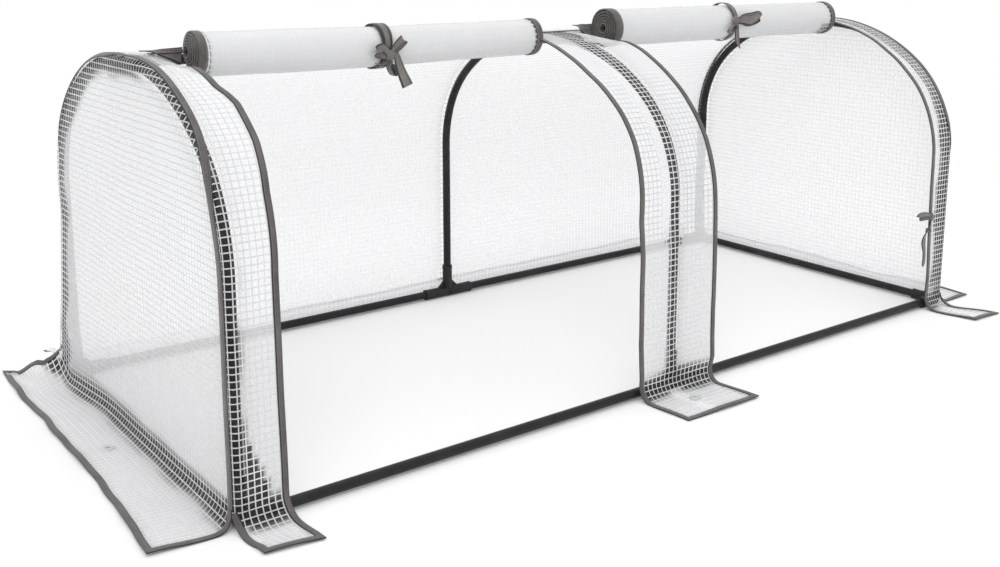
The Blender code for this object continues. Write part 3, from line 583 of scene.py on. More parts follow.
# Stations along the front's crest, and how far the film hangs down there
DROOP = (
    (-0.80, -0.79, -0.77, -0.754, -0.746, -0.737, -0.70, -0.60, 0.03, 0.05, 0.06, 0.07, 0.08, 0.10, 0.20),
    (0, 0, 0.003, 0.009, 0.013, 0.018, 0.024, 0, 0, 0.004, 0.012, 0.020, 0.025, 0.028, 0),
)

# How far the laid film's hems stand out or aside: of the front by x, of the left end by y
FRONT_HEM = (-0.812, -0.73, -0.09, 0.09, 0.73, 0.812)
FRONT_OUT = (0.019, 0.006, -0.014, -0.018, -0.014, -0.018)
FRONT_ASIDE = (0.006, 0.003, 0.006, 0.002, 0.020, 0.030)
LEFT_HEM = (-0.35, -0.275, -0.18, -0.05, 0.05, 0.17, 0.29, 0.43)
LEFT_OUT = (-0.020, -0.014, -0.007, -0.002, -0.004, -0.001, -0.004, 0.002)


def sway(points, x0, x1, tables):
    """Moves a strip's free edges along by the amounts that the tables give for each height."""
    u = np.clip((points[..., 0] - x0) / (x1 - x0), 0, 1)
    for table, share in zip(tables, (1 - u, u)):
        if table is not None:
            points[..., 0] += share * np.interp(points[..., 2], *table)


def settle(points, way=1):
    """Near the ground the left end's film stands off its rear leg, and its skirt rises there."""
    x, y, z = points[..., 0].copy(), points[..., 1], points[..., 2].copy()
    share = way * step_up(y, 0.10, 0.33) * step_up(-x, 0.76, 0.80) * (1 - step_up(-x, 0.85, 0.90))
    heights = (0.0, 0.03, 0.10, 0.20, 0.30, 0.42)
    points[..., 0] += share * np.interp(z, heights, (-0.016, -0.016, -0.012, -0.005, 0.002, 0.0))
    share = way * step_up(y, 0.28, 0.37) * step_up(-x, 0.78, 0.81) * (1 - step_up(-x, 0.830, 0.882))
    share = share * (1 - 0.6 * step_up(y, 0.39, 0.44) * (x > -0.82))
    points[..., 2] += 0.042 * share * (1 - step_up(z, 0.03, 0.16))


def lay(points):
    """The laid skirts and flaps don't end in quite straight lines."""
    x, y, z = np.moveaxis(points.copy(), -1, 0)
    settle(points)
    low = z < LAID_HEIGHT
    inside = np.abs(x) < HOOP_SPACING + 0.014
    front, back = [step_up(side * y - HALF_WIDTH, ROOT_END, SKIRT_REACH) * low * inside for side in (FRONT, BACK)]
    left, right = [step_up(end * x - HOOP_SPACING, ROOT_END, SKIRT_REACH) * low for end in (-1, 1)]
    points[..., 1] += front * np.interp(x, FRONT_HEM, FRONT_OUT)
    points[..., 0] += front * np.interp(x, FRONT_HEM, FRONT_ASIDE)
    points[..., 0] += left * np.interp(y, LEFT_HEM, LEFT_OUT)
    points[..., 1] += 0.007 * left * step_up(-y, 0.22, 0.36)
    points[..., 0] += 0.004 * right * np.sin(y * 14)
    points[..., 1] += 0.003 * back * np.sin(x * 9)


def droop(points):
    """The rolls' weight draws the film down beside their left ends."""
    x, y, z = points[..., 0], points[..., 1], points[..., 2]
    near = step_up(-y, 0.022, 0.030) * (1 - step_up(-y, 0.050, 0.150)) * (z > 0.5)
    points[..., 2] -= np.interp(x, *DROOP) * near


# Film


class Sheet:
    """Film as rows and columns of points, with the plane coordinates that its threads follow."""

    def __init__(self, points, normals, flat):
        self.points = slacken(points, normals)
        lay(self.points)
        self.normals = normals
        self.flat = flat

    def size(self):
        """Width and length over the middle row and column."""
        rows, columns = self.points.shape[:2]
        lines = self.points[rows // 2], self.points[:, columns // 2]
        return tuple(round(float(lengths(line)[-1]), 3) for line in lines)

    def edge(self, place, inner, way=1):
        """Edge frames along a row or a column, given another one inside it."""
        return edge_frames(self.points[place][::way], self.points[inner][::way], self.normals[place][::way])


def wall_sheet(side, start_q, x0, x1, wraps):
    """Film down one wall between two x, wrapped round an end hoop's tube where it meets one."""
    path = cover_path(start_q, HALF_WIDTH + EDGE_REACH)
    along = lengths(path[:, :2])
    count = max(int(round((x1 - x0) / COLUMN_STEP)), 4)
    columns = [(x, 0.0) for x in np.linspace(x0, x1, count + 1)]
    shares = [k / 6 for k in range(1, 7)]
    if wraps[0]:
        columns = [(-HOOP_SPACING, f) for f in shares[::-1]] + columns
    if wraps[1]:
        columns = columns + [(HOOP_SPACING, f) for f in shares]
    q, z, nq, nz = path.T
    hold = 1 - step_up(ROOT_TOP - z, 0.0, ROOT_RADIUS)
    hold = np.where(q > HALF_WIDTH + ROOT_END - 1e-6, 0.0, hold)
    axis_q, axis_z = q - nq * FILM_OFFSET, z - nz * FILM_OFFSET
    turn = seam_turn(axis_z, side)
    points = np.empty((len(path), len(columns), 3))
    normals = np.empty_like(points)
    flat = np.empty((len(path), len(columns), 2))
    for c, (x, f) in enumerate(columns):
        outward = math.copysign(1.0, x)
        phi = math.pi / 2 - f * (math.pi / 2 - turn)
        reach = FILM_OFFSET * np.sin(phi)
        plain = (x + outward * FILM_OUTSIDE * f, q, z)
        wrapped = (x + outward * FILM_OFFSET * np.cos(phi), axis_q + nq * reach, axis_z + nz * reach)
        if f == 0:
            wrapped = plain
        for i, way in enumerate((1, side, 1)):
            points[:, c, i] = way * (wrapped[i] * hold + plain[i] * (1 - hold))
        tilt = np.cos(phi) * hold * (f > 0)
        normals[:, c] = np.column_stack([outward * tilt, side * nq * (1 - tilt), nz * (1 - tilt)])
        flat[:, c, 0] = x + outward * FILM_OFFSET * (math.pi / 2 - phi) * (f > 0)
        flat[:, c, 1] = along * -side
    return Sheet(points, unit(normals), flat)


def end_sheet(x_side):
    """An end panel with its root curve and skirt: a core grid and the rim round it."""
    y, z, ny, nz = AXIS.T
    columns = (z >= SHOULDER_Z - 1e-9).nonzero()[0]
    drop = root_path()[1:]
    reach = np.linspace(ROOT_END, EDGE_REACH, 11)[1:]
    root_length = math.pi / 2 * ROOT_RADIUS
    rows, flats = [], []

    def add_row(x, heights, nx, nzz, v):
        rows.append([(x, y[j], h, nx, 0, nzz) for j, h in zip(columns, heights)])
        flats.append([(y[j], v_j) for j, v_j in zip(columns, v)])

    def level(value):
        return [value] * len(columns)

    for gone in reach[::-1]:
        v = ROOT_TOP - root_length - (gone - ROOT_END)
        add_row(HOOP_SPACING + gone, level(GROUND_FILM), 0, 1, level(v))
    for k in range(len(drop) - 1, -1, -1):
        q, h, nq, nzz = drop[k]
        v = ROOT_TOP - root_length * (k + 1) / len(drop)
        add_row(HOOP_SPACING + q - HALF_WIDTH, level(h), nq, nzz, level(v))
    for t in np.linspace(0, 1, columns[0] + 1):
        heights = ROOT_TOP + (z[columns] - ROOT_TOP) * t
        add_row(HOOP_SPACING + FILM_OFFSET, heights, 1, 0, heights)
    core = np.array(rows)
    core_flat = np.array(flats)
    total, width = core.shape[:2]
    ground_rows = len(reach)
    wall_first = ground_rows + len(drop)
    perimeter = [(r, 0) for r in range(total)]
    perimeter += [(total - 1, c) for c in range(1, width)]
    perimeter += [(r, width - 1) for r in range(total - 2, -1, -1)]
    shares = np.linspace(0, 1, 8)[1:]
    rim = np.empty((len(perimeter), len(shares), 6))
    rim_flat = np.empty((len(perimeter), len(shares), 2))
    for k, (r, c) in enumerate(perimeter):
        x, yy, zz, nx, _, nzz = core[r, c]
        side = FRONT if k < total + width / 2 else BACK
        n_y, n_z = (side, 0.0) if r < total - 1 else (ny[columns[c]], nz[columns[c]])
        turn = float(seam_turn(np.array(zz), side))
        hold = float(r >= wall_first)
        if ground_rows <= r < wall_first:
            hold = float(1 - step_up((ROOT_TOP - zz) / ROOT_RADIUS, 0, 1))
        out = max(0.0, (x - HOOP_SPACING - ROOT_END) / (EDGE_REACH - ROOT_END))
        spread = COLLAR_RADIUS
        if side == BACK:
            spread += (SKIRT_FLARE - COLLAR_RADIUS) * (1 - np.clip(1 - out, 0, 1) ** 1.7)
        for i, f in enumerate(shares):
            phi = turn * f
            away = FILM_OFFSET * math.sin(phi)
            wrapped = np.array([x + FILM_OFFSET * (math.cos(phi) - 1), yy + n_y * away, zz + n_z * away])
            plain = np.array([x, yy + side * spread * f, zz])
            rim[k, i, :3] = wrapped * hold + plain * (1 - hold)
            tilt = math.sin(phi) * hold
            rim[k, i, 3:] = (nx * (1 - tilt), n_y * tilt, nzz * (1 - tilt) + n_z * tilt)
            gone = FILM_OFFSET * phi * hold + spread * f * (1 - hold)
            rim_flat[k, i] = core_flat[r, c] + np.array([n_y, n_z]) * gone
    for block in (core, rim):
        block[..., (0, 3)] *= x_side
    sheets = [
        Sheet(block[..., :3], unit(block[..., 3:]), flat) for block, flat in ((core, core_flat), (rim, rim_flat))
    ]
    return *sheets, perimeter


def punch(points, faces, flat, centre, turn):
    """Cuts a round hole through laid film. turn takes a move in x and y to the plane coordinates."""
    points = [tuple(p) for p in points]
    flat = [tuple(f) for f in flat]
    centre = np.array(centre[:2])
    kept, cut = [], []
    for face in faces:
        middle = np.mean([points[v][:2] for v in face], axis=0)
        low = min(points[v][2] for v in face) < LAID_HEIGHT
        (cut if low and np.abs(middle - centre).max() < HOLE_REACH else kept).append(face)
    edges = {(a, b) for face in cut for a, b in zip(face, face[1:] + face[:1])}
    border = {a: b for face in cut for a, b in zip(face, face[1:] + face[:1]) if (b, a) not in edges}
    loop = [next(iter(border))]
    while border[loop[-1]] != loop[0]:
        loop.append(border[loop[-1]])
    rings = []
    for share in (1.0, 0.45):
        rings.append(range(len(points), len(points) + len(loop)))
        for v in loop:
            p = np.array(points[v])
            way = p[:2] - centre
            target = centre + way / np.linalg.norm(way) * HOLE_RADIUS
            xy = p[:2] * (1 - share) + target * share
            points.append((xy[0], xy[1], p[2]))
            flat.append(tuple(flat[v] + np.array(turn) @ (xy - p[:2])))
    for k in range(len(loop)):
        after = (k + 1) % len(loop)
        for outer, inner in ((loop, rings[1]), (rings[1], rings[0])):
            kept.append((outer[k], outer[after], inner[after], inner[k]))
    return points, kept, flat


# By kind: how far painted shade reaches beside the hoops and beside the base, and its threads' tone, painted darker
# than their white where light comes through the film behind them
LOOKS = {
    "strip": (0.0, 0.030, 0.76),
    "strip_right": (0.0, 0.028, 0.80),
    "left_end": (0.044, 0.025, 0.74),
    "right_end": (0.0, 0.0, 0.87),
    "roof": (0.0, 0.0, 0.95),
}
NEAR = 0.0045, 0.0085


def film_tones(points, kind):
    """How clear the film's windows are, and how light the windows and threads are painted at each point, with painted
    shade beside the tubes, low down and on laid film.
    """
    drawn = points.copy()
    settle(drawn, -1)
    hoop_gap = tube_gap(drawn, False)
    base_gap = tube_gap(drawn, True)
    hoop_reach, base_reach, thread = LOOKS[kind]
    x, y, z = points.T
    near = 1 - step_up(base_gap, *NEAR)
    patches = 1 + 0.25 * ripple(points, 0.09, 8)
    shade = np.zeros(len(points))
    out = np.maximum(np.abs(x) - HOOP_SPACING, np.abs(y) - HALF_WIDTH)
    laid = step_up(out, 0.020, 0.045) * (z < 0.03)
    low_shade = np.zeros(len(points))
    # Painted shade: windows go dark beside the hoops where a kind has a hoop reach, fading out towards the front, and
    # beside the base; patches vary how far it reaches.
    if hoop_reach:
        reach = 0.014 + (hoop_reach - 0.014) * step_up(y, 0.03, 0.20)
        shade = (1 - step_up(hoop_gap / (patches * reach), 0.55, 1.0)) * step_up(y, -0.12, -0.07)
    if base_reach:
        shade = np.maximum(shade, 1 - step_up(base_gap / (patches * base_reach), 0.45, 1.0))
    if kind.startswith("strip"):
        # Painted shade: low on the strips, where the floor behind lies in shade, windows and threads go grey; laid
        # film is left out.
        low_shade = (1 - step_up(z, 0.225, 0.295)) * (1 - laid)
        side = x - HOOP_SPACING * np.round(x / HOOP_SPACING)
        high = step_up(z, 0.24, 0.32)
        band = step_up(side, -0.026 - 0.022 * high, -0.021 - 0.020 * high)
        band = band * (1 - step_up(side, 0.0010 + 0.006 * high, 0.0045 + 0.008 * high))
        near = np.maximum(near, band)
    else:
        off_crest = step_up(np.abs(y), 0.05, 0.08)
        near = np.maximum(near, (1 - step_up(hoop_gap, *NEAR)) * off_crest)
    # Painted shade: dark windows beside the left strip's hoop, wider near the ground, up to about half its height.
    if kind == "strip":
        width = 0.005 + 0.030 * (1 - step_up(z, 0.03, 0.17))
        dark = (x < -HOOP_SPACING / 2) * (1 - step_up(side * patches, width, width + 0.003))
        dark = dark * step_up(z, 0.012, 0.030) * (1 - step_up(z, 0.42, 0.50))
        shade = np.maximum(shade, dark)
    # Painted shade: dark windows beside the right strip's hoop, lighter higher up, where the clear zone gives way to
    # them.
    if kind == "strip_right":
        dark = step_up(side * patches, -0.040, -0.033) * (1 - 0.5 * step_up(z, 0.40, 0.55))
        dark = dark * step_up(z, 0.03, 0.06)
        shade = np.maximum(shade, dark)
        near = near * (1 - dark)
    # Painted shade: the left end goes grey below a line that falls from its front to its back, where the floor behind
    # lies in shade; laid film is left out.
    if kind == "left_end":
        line = 0.03 + 0.24 * (HALF_WIDTH - y) / (2 * HALF_WIDTH)
        low_shade = (1 - step_up(z, line - 0.035, line + 0.020)) * (1 - laid)
    # The painted shades darken the windows: low down, on laid film on the ground, and nearly to black beside the
    # tubes.
    window = 0.970 - 0.17 * low_shade - 0.11 * laid
    lines = thread + (0.755 - thread) * low_shade
    # Painted shade: the middle strip's threads are darker.
    if kind == "strip":
        lines = lines - 0.08 * (x > -HOOP_SPACING / 2) * (1 - low_shade)
    # On laid film and beside the tubes the threads keep nearly their own white, lighter than their painted tone
    # elsewhere.
    lines = lines + (0.90 - lines) * np.maximum(laid, step_up(np.maximum(shade, near), 0.15, 0.7))
    clear = np.maximum(0.30 * (1 - shade), 0.94 * near)
    return {"clear": clear, "window": window * (1 - 0.95 * shade), "thread": lines}


def film_piece(name, points, faces, flat, tones, material=FILM):
    made = make_piece(name, points, faces, material, flat)
    for layer_name, values in tones.items():
        layer = made.data.attributes.new(layer_name, "FLOAT", "POINT")
        layer.data.foreach_set("value", np.asarray(values, np.float32).reshape(-1))
    return made


# Tape


def tape_profile(depth, thick, lip=0.0011):
    """Folded tape in section: u runs out of the film's edge, v across the film."""
    half = thick / 2
    lower = [(-depth, -half * 0.55), (-depth + 0.0006, -half), (-0.0010, -half), (lip * 0.7, -half * 0.75)]
    return lower + [(lip, 0.0)] + [(u, -v) for u, v in lower[::-1]]


PROFILE = tape_profile(0.0090, 0.0024)


def sweep(name, centres, outs, ups, profile=PROFILE, plain=False):
    """Carries a section along centres, with its u along outs and its v along ups."""
    centres = np.asarray(centres, float)
    low, high = (pick(u for u, v in profile) for pick in (min, max))
    # A plain section's plane coordinates keep the tape's painted edge shade off its lip.
    first, span = (-0.0038, 0.0062) if plain else (0.0, TAPE_SPAN)
    loops, flat = [], []
    for p, out, up, s in zip(centres, outs, ups, lengths(centres)):
        loops.append([p + out * u + up * v for u, v in profile])
        flat += [(first + (u - high) / (high - low) * span, s) for u, v in profile]
    return closed_loops(name, loops, TAPE, flat, 50)


def edge_frames(edge, inner, normals):
    """The directions out of an edge of film and off its face, at each point of the edge."""
    along = unit(np.gradient(edge, axis=0))
    out = edge - inner
    out = unit(out - along * np.sum(out * along, axis=1, keepdims=True))
    up = unit(np.cross(along, out))
    sign = np.sign(np.sum(up * normals, axis=1, keepdims=True))
    return edge, out, up * np.where(sign == 0, 1, sign)


def corner_path(runs, keep_off=0.0135):
    """Joins runs of edge frames whose ends meet at corners, mitred there."""
    path = []
    for k, (edge, out, up) in enumerate(runs):
        keep = np.ones(len(edge), bool)
        if k > 0:
            keep &= np.linalg.norm(edge - edge[0], axis=1) > keep_off
        if k < len(runs) - 1:
            keep &= np.linalg.norm(edge - edge[-1], axis=1) > keep_off
        path += zip(edge[keep], out[keep], up[keep])
        if k < len(runs) - 1:
            after = runs[k + 1]
            last = out[len(out) - 1 - int(np.argmax(keep[::-1]))]
            both = unit(last + after[1][min(3, len(after[1]) - 1)])
            both = both / max(float(both @ last), 0.4)
            path.append((edge[-1], both, unit(up[-1] + after[2][0])))
    return [np.array(part) for part in zip(*path)]


# Frame


def ring(centre, across, along, radius, sides=32):
    angles = np.arange(sides) * 2 * math.pi / sides
    return [centre + across * (math.cos(a) * radius) + along * (math.sin(a) * radius) for a in angles]


def make_tube(name, centres, acrosses, along, node):
    loops = [ring(np.array(c, float), a, along, TUBE_RADIUS) for c, a in zip(centres, acrosses)]
    assign(closed_loops(name, loops, TUBE, None, 60), "tube", node)


def make_frame():
    reach = HALF_WIDTH - SEAT
    for side, side_name in SIDES:
        y = side * HALF_WIDTH
        for x0, x1, name in ((-HOOP_SPACING, 0, "left"), (0, HOOP_SPACING, "right")):
            ends = [(x0 + SEAT, y, AXIS_HEIGHT), (x1 - SEAT, y, AXIS_HEIGHT)]
            make_tube(f"rail_{side_name}_{name}", ends, [Y, Y], Z, f"base_tube_{side_name}_{name}")
    for end, name in ENDS:
        x = end * HOOP_SPACING
        ends = [(x, -reach, AXIS_HEIGHT), (x, reach, AXIS_HEIGHT)]
        make_tube(f"rail_{name}_end", ends, [X, X], Z, f"base_tube_{name}_end")
        ends = [(end * SEAT, 0, CREST_AXIS), (x - end * SEAT, 0, CREST_AXIS)]
        make_tube(f"ridge_pole_{name}", ends, [Y, Y], Z, f"ridge_tube_{name}")
    half = AXIS[: len(AXIS) // 2]
    stations = np.vstack([half[:1], half, [(-SEAT, CREST_AXIS, 0.0, 1.0)]])
    stations[0, 1] = AXIS_HEIGHT + SEAT
    y, z, ny, nz = stations.T
    for x, name in HOOPS:
        for side, side_name in SIDES:
            centres = np.column_stack([np.full(len(y), x), y * -side, z])
            normals = np.column_stack([np.zeros(len(y)), ny * -side, nz])
            make_tube(f"hoop_{name}_{side_name}", centres, normals, X, f"hoop_tube_{name}_{side_name}")


def sleeve(centre, direction, across, length, slimmer=0.0):
    """A moulded sleeve with a rounded collar, open at its mouth down to the tube's end."""
    radius = SLEEVE_RADIUS - slimmer
    mouth = TUBE_RADIUS + 0.0003
    collar = COLLAR_RADIUS - slimmer
    back = -0.004
    stations = [
        (radius * 0.5, back - radius * 0.55),
        (radius * 0.87, back - radius * 0.32),
        (radius, back),
        (radius, length - COLLAR_LENGTH - 0.0004),
        (collar - 0.0001, length - COLLAR_LENGTH),
        (collar, length - COLLAR_LENGTH + 0.0004),
        (collar, length - 0.0007),
        (collar - 0.0006, length),
        (mouth + 0.0002, length),
        (mouth, length - 0.0004),
        (mouth, length - 0.012),
    ]
    along = np.cross(direction, across)
    loops = [ring(centre + direction * h, across, along, r) for r, h in stations]
    return closed_loops("sleeve", loops, PLASTIC, None, 35)


def web(centre, first, second):
    """A gusset between two sleeves, with rounded long edges."""
    normal = unit(np.cross(first, second))
    half = WEB_THICKNESS / 2
    inset = 0.0006
    loops = []
    for offset, back in ((-half, inset), (inset - half, 0.0), (half - inset, 0.0), (half, inset)):
        arc = [centre + normal * offset]
        for t in spaced(0, 1, 6, last=True):
            p = centre + (first * (1 - t) + second * t) * (WEB_REACH - back)
            arc.append(p - unit(first + second) * 0.0022 * math.sin(math.pi * t) + normal * offset)
        loops.append(arc)
    return closed_loops("web", loops, PLASTIC, None, 35)


def make_connectors():
    rows = []
    for y_side, side_name in SIDES:
        for x_side, end_name in ENDS:
            centre = np.array([x_side * HOOP_SPACING, y_side * HALF_WIDTH, AXIS_HEIGHT])
            a, b = X * -x_side, Y * -y_side
            parts = [
                sleeve(centre, a, Z, CORNER_ARM),
                sleeve(centre, b, Z, CORNER_ARM, 0.0002),
                sleeve(centre, Z, X, STEM_HEIGHT, 0.0004),
                web(centre, a, Z),
                web(centre, b, Z),
                web(centre, a, b),
            ]
            rows.append((f"corner_{side_name}_{end_name}", parts, f"corner_connector_{side_name}_{end_name}"))
        centre = np.array([0.0, y_side * HALF_WIDTH, AXIS_HEIGHT])
        parts = [sleeve(centre, way, Z, T_ARM) for way in (X, -X)]
        parts.append(sleeve(centre, Z, X, STEM_HEIGHT, 0.0002))
        parts += [web(centre, way, Z) for way in (X, -X)]
        rows.append((f"tee_{side_name}", parts, f"t_connector_{side_name}"))
    for (x, name), arms in zip(HOOPS, ((1,), (-1, 1), (-1,))):
        centre = np.array([x, 0.0, CREST_AXIS])
        parts = [sleeve(centre, way, Z, CREST_RUN) for way in (Y, -Y)]
        parts += [sleeve(centre, X * arm, Z, RIDGE_ARM, 0.0002) for arm in arms]
        rows.append((f"ridge_joint_{name}", parts, f"ridge_connector_{name}"))
    for name, parts, node in rows:
        assign(join(name, parts), "plastic", node)


# Cover

# An eyelet's section: two rounded flanges clamped on the film round a barrel
EYELET = (
    (0.0046, -0.0007), (0.0050, -0.0012), (0.0080, -0.0012), (0.0089, -0.0008), (0.0089, -0.0003),
    (0.0060, -0.0002), (0.0060, 0.0002), (0.0089, 0.0003), (0.0090, 0.0009), (0.0080, 0.0014),
    (0.0056, 0.0017), (0.0048, 0.0014), (0.0045, 0.0006),
)


def make_eyelet(name, place, points, body):
    """A clear eyelet on laid film, at the height of the film's points next to it."""
    x, y = place
    flat = points.reshape(-1, 3)
    low = flat[flat[:, 2] < LAID_HEIGHT]
    near = low[np.argsort(np.hypot(low[:, 0] - x, low[:, 1] - y))[:4]]
    centre = np.array([x, y, float(near[:, 2].mean())])
    loops = []
    for a in spaced(0, 2 * math.pi, 48):
        way = X * math.cos(a) + Y * math.sin(a)
        loops.append([centre + way * r + Z * h for r, h in EYELET])
    made = closed_loops(f"ring_{name}", loops, CLEAR, None, 50, round_way=True)
    return assign(made, "clear", f"eyelet_{name}", body=body)


def make_hem(name, runs, axis, fold, body, *nodes):
    """The tape round a skirt's or a strip's free edges."""
    made = sweep(f"tape_{name}", *corner_path(runs))
    fold_at(made, axis, fold)
    return assign(made, "tape", *nodes, body=None)


def make_wall(sheet, name, side, kind, body, nodes, hem, tops, hole=None):
    """A wall's film with its laid part, tape and eyelet. tops are the tape's first rows."""
    faces = grid_faces(*sheet.points.shape[:2], flip=side == FRONT)
    points, flat = sheet.points.reshape(-1, 3), sheet.flat.reshape(-1, 2)
    if hole is not None:
        points, faces, flat = punch(points, faces, flat, hole, ((1, 0), (0, -1)))
    film = film_piece(f"film_{name}", points, faces, flat, film_tones(np.array(points), kind))
    fold_at(film, 1, side * FOLD_Y)
    assign(film, "film", *nodes, body=None)
    runs = [
        sheet.edge(np.s_[tops[0]:, 0], np.s_[tops[0]:, 2]),
        sheet.edge(-1, -4),
        sheet.edge(np.s_[tops[1]:, -1], np.s_[tops[1]:, -3], -1),
    ]
    carried = [make_hem(hem[0], runs, 1, side * FOLD_Y, body, *hem[1:])]
    side_name = dict(SIDES)[side]
    if hole is not None:
        carried.append(make_eyelet(side_name, hole, sheet.points, body))
    sheet.size()


def foot_row(sheet):
    return int(np.argmax(sheet.points[:, 0, 2] < ROOT_TOP - 0.001))


def make_strips():
    inner = HOOP_SPACING - END_STRIP
    half = MIDDLE_STRIP / 2
    for name, x0, x1, wraps, edges in (
        ("left", -HOOP_SPACING, -inner, (True, False), (None, LEFT_EDGE)),
        ("middle", -half, half, (False, False), (MIDDLE_LEFT, MIDDLE_RIGHT)),
        ("right", inner, HOOP_SPACING, (False, True), (RIGHT_EDGE, None)),
    ):
        sheet = wall_sheet(FRONT, SEAM_SETBACK, x0, x1, wraps)
        sway(sheet.points, x0, x1, edges)
        droop(sheet.points)
        top = int(np.argmax(np.abs(sheet.points[:, 0, 1]) > STRIP_TOP))
        tops = [foot_row(sheet) if wrap else top for wrap in wraps]
        kind = "strip_right" if name == "right" else "strip"
        nodes = f"front_strip_{name}", f"front_flap_{name}"
        hem = f"strip_{name}", f"flap_hem_{name}", f"strip_binding_{name}"
        hole = None
        if name == "middle":
            hem = *hem[:2], "strip_binding_middle_left", "strip_binding_middle_right"
            hole = 0.0, -(HALF_WIDTH + EYELET_SETBACK)
        make_wall(sheet, f"strip_{name}", FRONT, kind, f"flap_{name}_body", nodes, hem, tops, hole)


def make_roof():
    sheet = wall_sheet(BACK, -SEAM_SETBACK, -HOOP_SPACING, HOOP_SPACING, (True, True))
    nodes = "roof_back_panel", "skirt_back"
    hem = "skirt_back", "skirt_hem_back"
    tops = [foot_row(sheet)] * 2
    hole = 0.0, HALF_WIDTH + EYELET_SETBACK
    make_wall(sheet, "roof_back", BACK, "roof", "skirt_back_body", nodes, hem, tops, hole)


def thin_out(points, gap):
    """Indices of points at least a gap apart, with both ends."""
    keep = [0]
    for k in range(1, len(points) - 1):
        if np.linalg.norm(points[k] - points[keep[-1]]) >= gap:
            keep.append(k)
    return keep + [len(points) - 1]


def make_end(name, x_side):
    core, rim, perimeter = end_sheet(x_side)
    rows, columns = core.points.shape[:2]
    around, deep = rim.points.shape[:2]
    points = np.vstack([core.points.reshape(-1, 3), rim.points.reshape(-1, 3)])
    flat = np.vstack([core.flat.reshape(-1, 2), rim.flat.reshape(-1, 2)])
    faces = grid_faces(rows, columns, flip=x_side < 0)
    first = rows * columns
    for k in range(around - 1):
        a, b = (r * columns + c for r, c in perimeter[k : k + 2])
        for i in range(deep):
            low, high = first + k * deep + i, first + (k + 1) * deep + i
            face = (low - 1 if i else a, high - 1 if i else b, high, low)
            faces.append(face if x_side > 0 else face[::-1])
    hole = (x_side * (HOOP_SPACING + EYELET_SETBACK), 0.0)
    points, faces, flat = punch(points, faces, flat, hole, ((0, 1), (-x_side, 0)))
    film = film_piece(f"film_end_{name}", points, faces, flat, film_tones(np.array(points), f"{name}_end"))
    body = f"skirt_{name}_body"
    fold_at(film, 0, x_side * FOLD_X)
    assign(film, "film", f"end_panel_{name}", f"skirt_{name}", body=None)
    foot = int(np.argmax(core.points[:, 0, 2] > ROOT_TOP - 0.001)) + 1
    hem = [
        np.vstack([side[i][::-1], middle[i], side[-1 - i]])
        for side, middle, i in (
            (rim.points, core.points, 0), (rim.points, core.points, 2), (rim.normals, core.normals, 0),
        )
    ]
    picked = thin_out(hem[0], 0.006)
    runs = [
        rim.edge(np.s_[:foot, -1], np.s_[:foot, -3], -1),
        edge_frames(*(part[picked] for part in hem)),
        rim.edge(np.s_[-foot:, -1], np.s_[-foot:, -3], -1),
    ]
    tape = make_hem(f"skirt_{name}", runs, 0, x_side * FOLD_X, body, f"skirt_hem_{name}")
    eyelet = make_eyelet(name, hole, core.points, body)


def arch_surface(x_side, station, w):
    """A point and normal of the cover round an end hoop. w runs from the end face to the roof."""
    y, z, ny, nz = station
    out = X * x_side
    n = np.array([0.0, ny, nz])
    axis = np.array([x_side * HOOP_SPACING, y, z])
    phi = np.clip(w / FILM_OFFSET, 0, math.pi / 2)
    way = out * math.cos(phi) + n * math.sin(phi)
    return axis + way * FILM_OFFSET + n * min(w, 0) - out * max(w - QUARTER, 0), way


def make_arch_tape(name, x_side):
    """Flat tape over the arch seam, which moves round the tube on its way down to the leg."""
    low_z, high_z, beyond = (0.400, 0.540, 0.0015) if x_side < 0 else (0.300, 0.420, 0.0025)
    loops, flat = [], []
    steps = 8
    for station, gone in zip(AXIS, lengths(AXIS[:, :2])):
        y, z = station[:2]
        up_share = 1.0 if y > 0 else float(step_up(z, low_z, high_z))
        middle = -0.0012 * (1 - up_share) + (QUARTER + beyond) * up_share
        if x_side < 0:
            middle -= 0.0095 * float(step_up(y, 0.0, 0.06) * step_up(z, 0.38, 0.47))
            middle -= 0.0075 * math.exp(-(((y + 0.004) / 0.009) ** 2))
        middle += 0.0006 * math.sin(gone * 31)
        wide = 0.0130 - 0.0025 * up_share
        top, under, marks = [], [], []
        for i, share in enumerate(spaced(0, 1, steps, last=True)):
            p, n = arch_surface(x_side, station, middle + wide * (share - 0.5))
            top.append(p + n * (0.0013 if 0 < i < steps else 0.0006))
            under.append(p + n * 0.0002)
            marks.append((TAPE_SPAN * (share - 1), gone))
        loop = np.array(top + under[::-1])
        settle(loop)
        loops.append(list(loop))
        flat += marks + marks[::-1]
    assign(closed_loops(f"tape_arch_{name}", loops, TAPE, flat, 50), "tape", f"arch_binding_{name}")


def make_ridge_tape():
    """Flat tape over the seam where the roof, the strips and the doors meet."""
    half = RIDGE_TAPE_WIDTH / 2
    end = HOOP_SPACING - 0.028
    xs = spaced(-end, end, 160, last=True)
    centres = [(x, 0.0006 * math.sin(x * 37) - SEAM_SETBACK, CREST_FILM + 0.0010) for x in xs]
    profile = [
        (-half, -0.0002), (half, -0.0002), (half + 0.0002, 0.0004),
        (half - 0.0005, 0.0009), (-half + 0.0005, 0.0009), (-half - 0.0002, 0.0004),
    ]
    assign(sweep("tape_ridge", centres, [Y] * len(xs), [Z] * len(xs), profile), "tape", "ridge_binding")


# Rolled doors

# Stations along each roll, its outer radius there, and how far it lies above the CAD's line
ROLLS = {
    "left": ((-0.72, -0.40, -0.10), (0.0370, 0.0350, 0.0335), (0.0, -0.0035, -0.0015)),
    "right": ((0.08, 0.40, 0.73), (0.0375, 0.0370, 0.0360), (0.0065, 0.0055, 0.0040)),
}


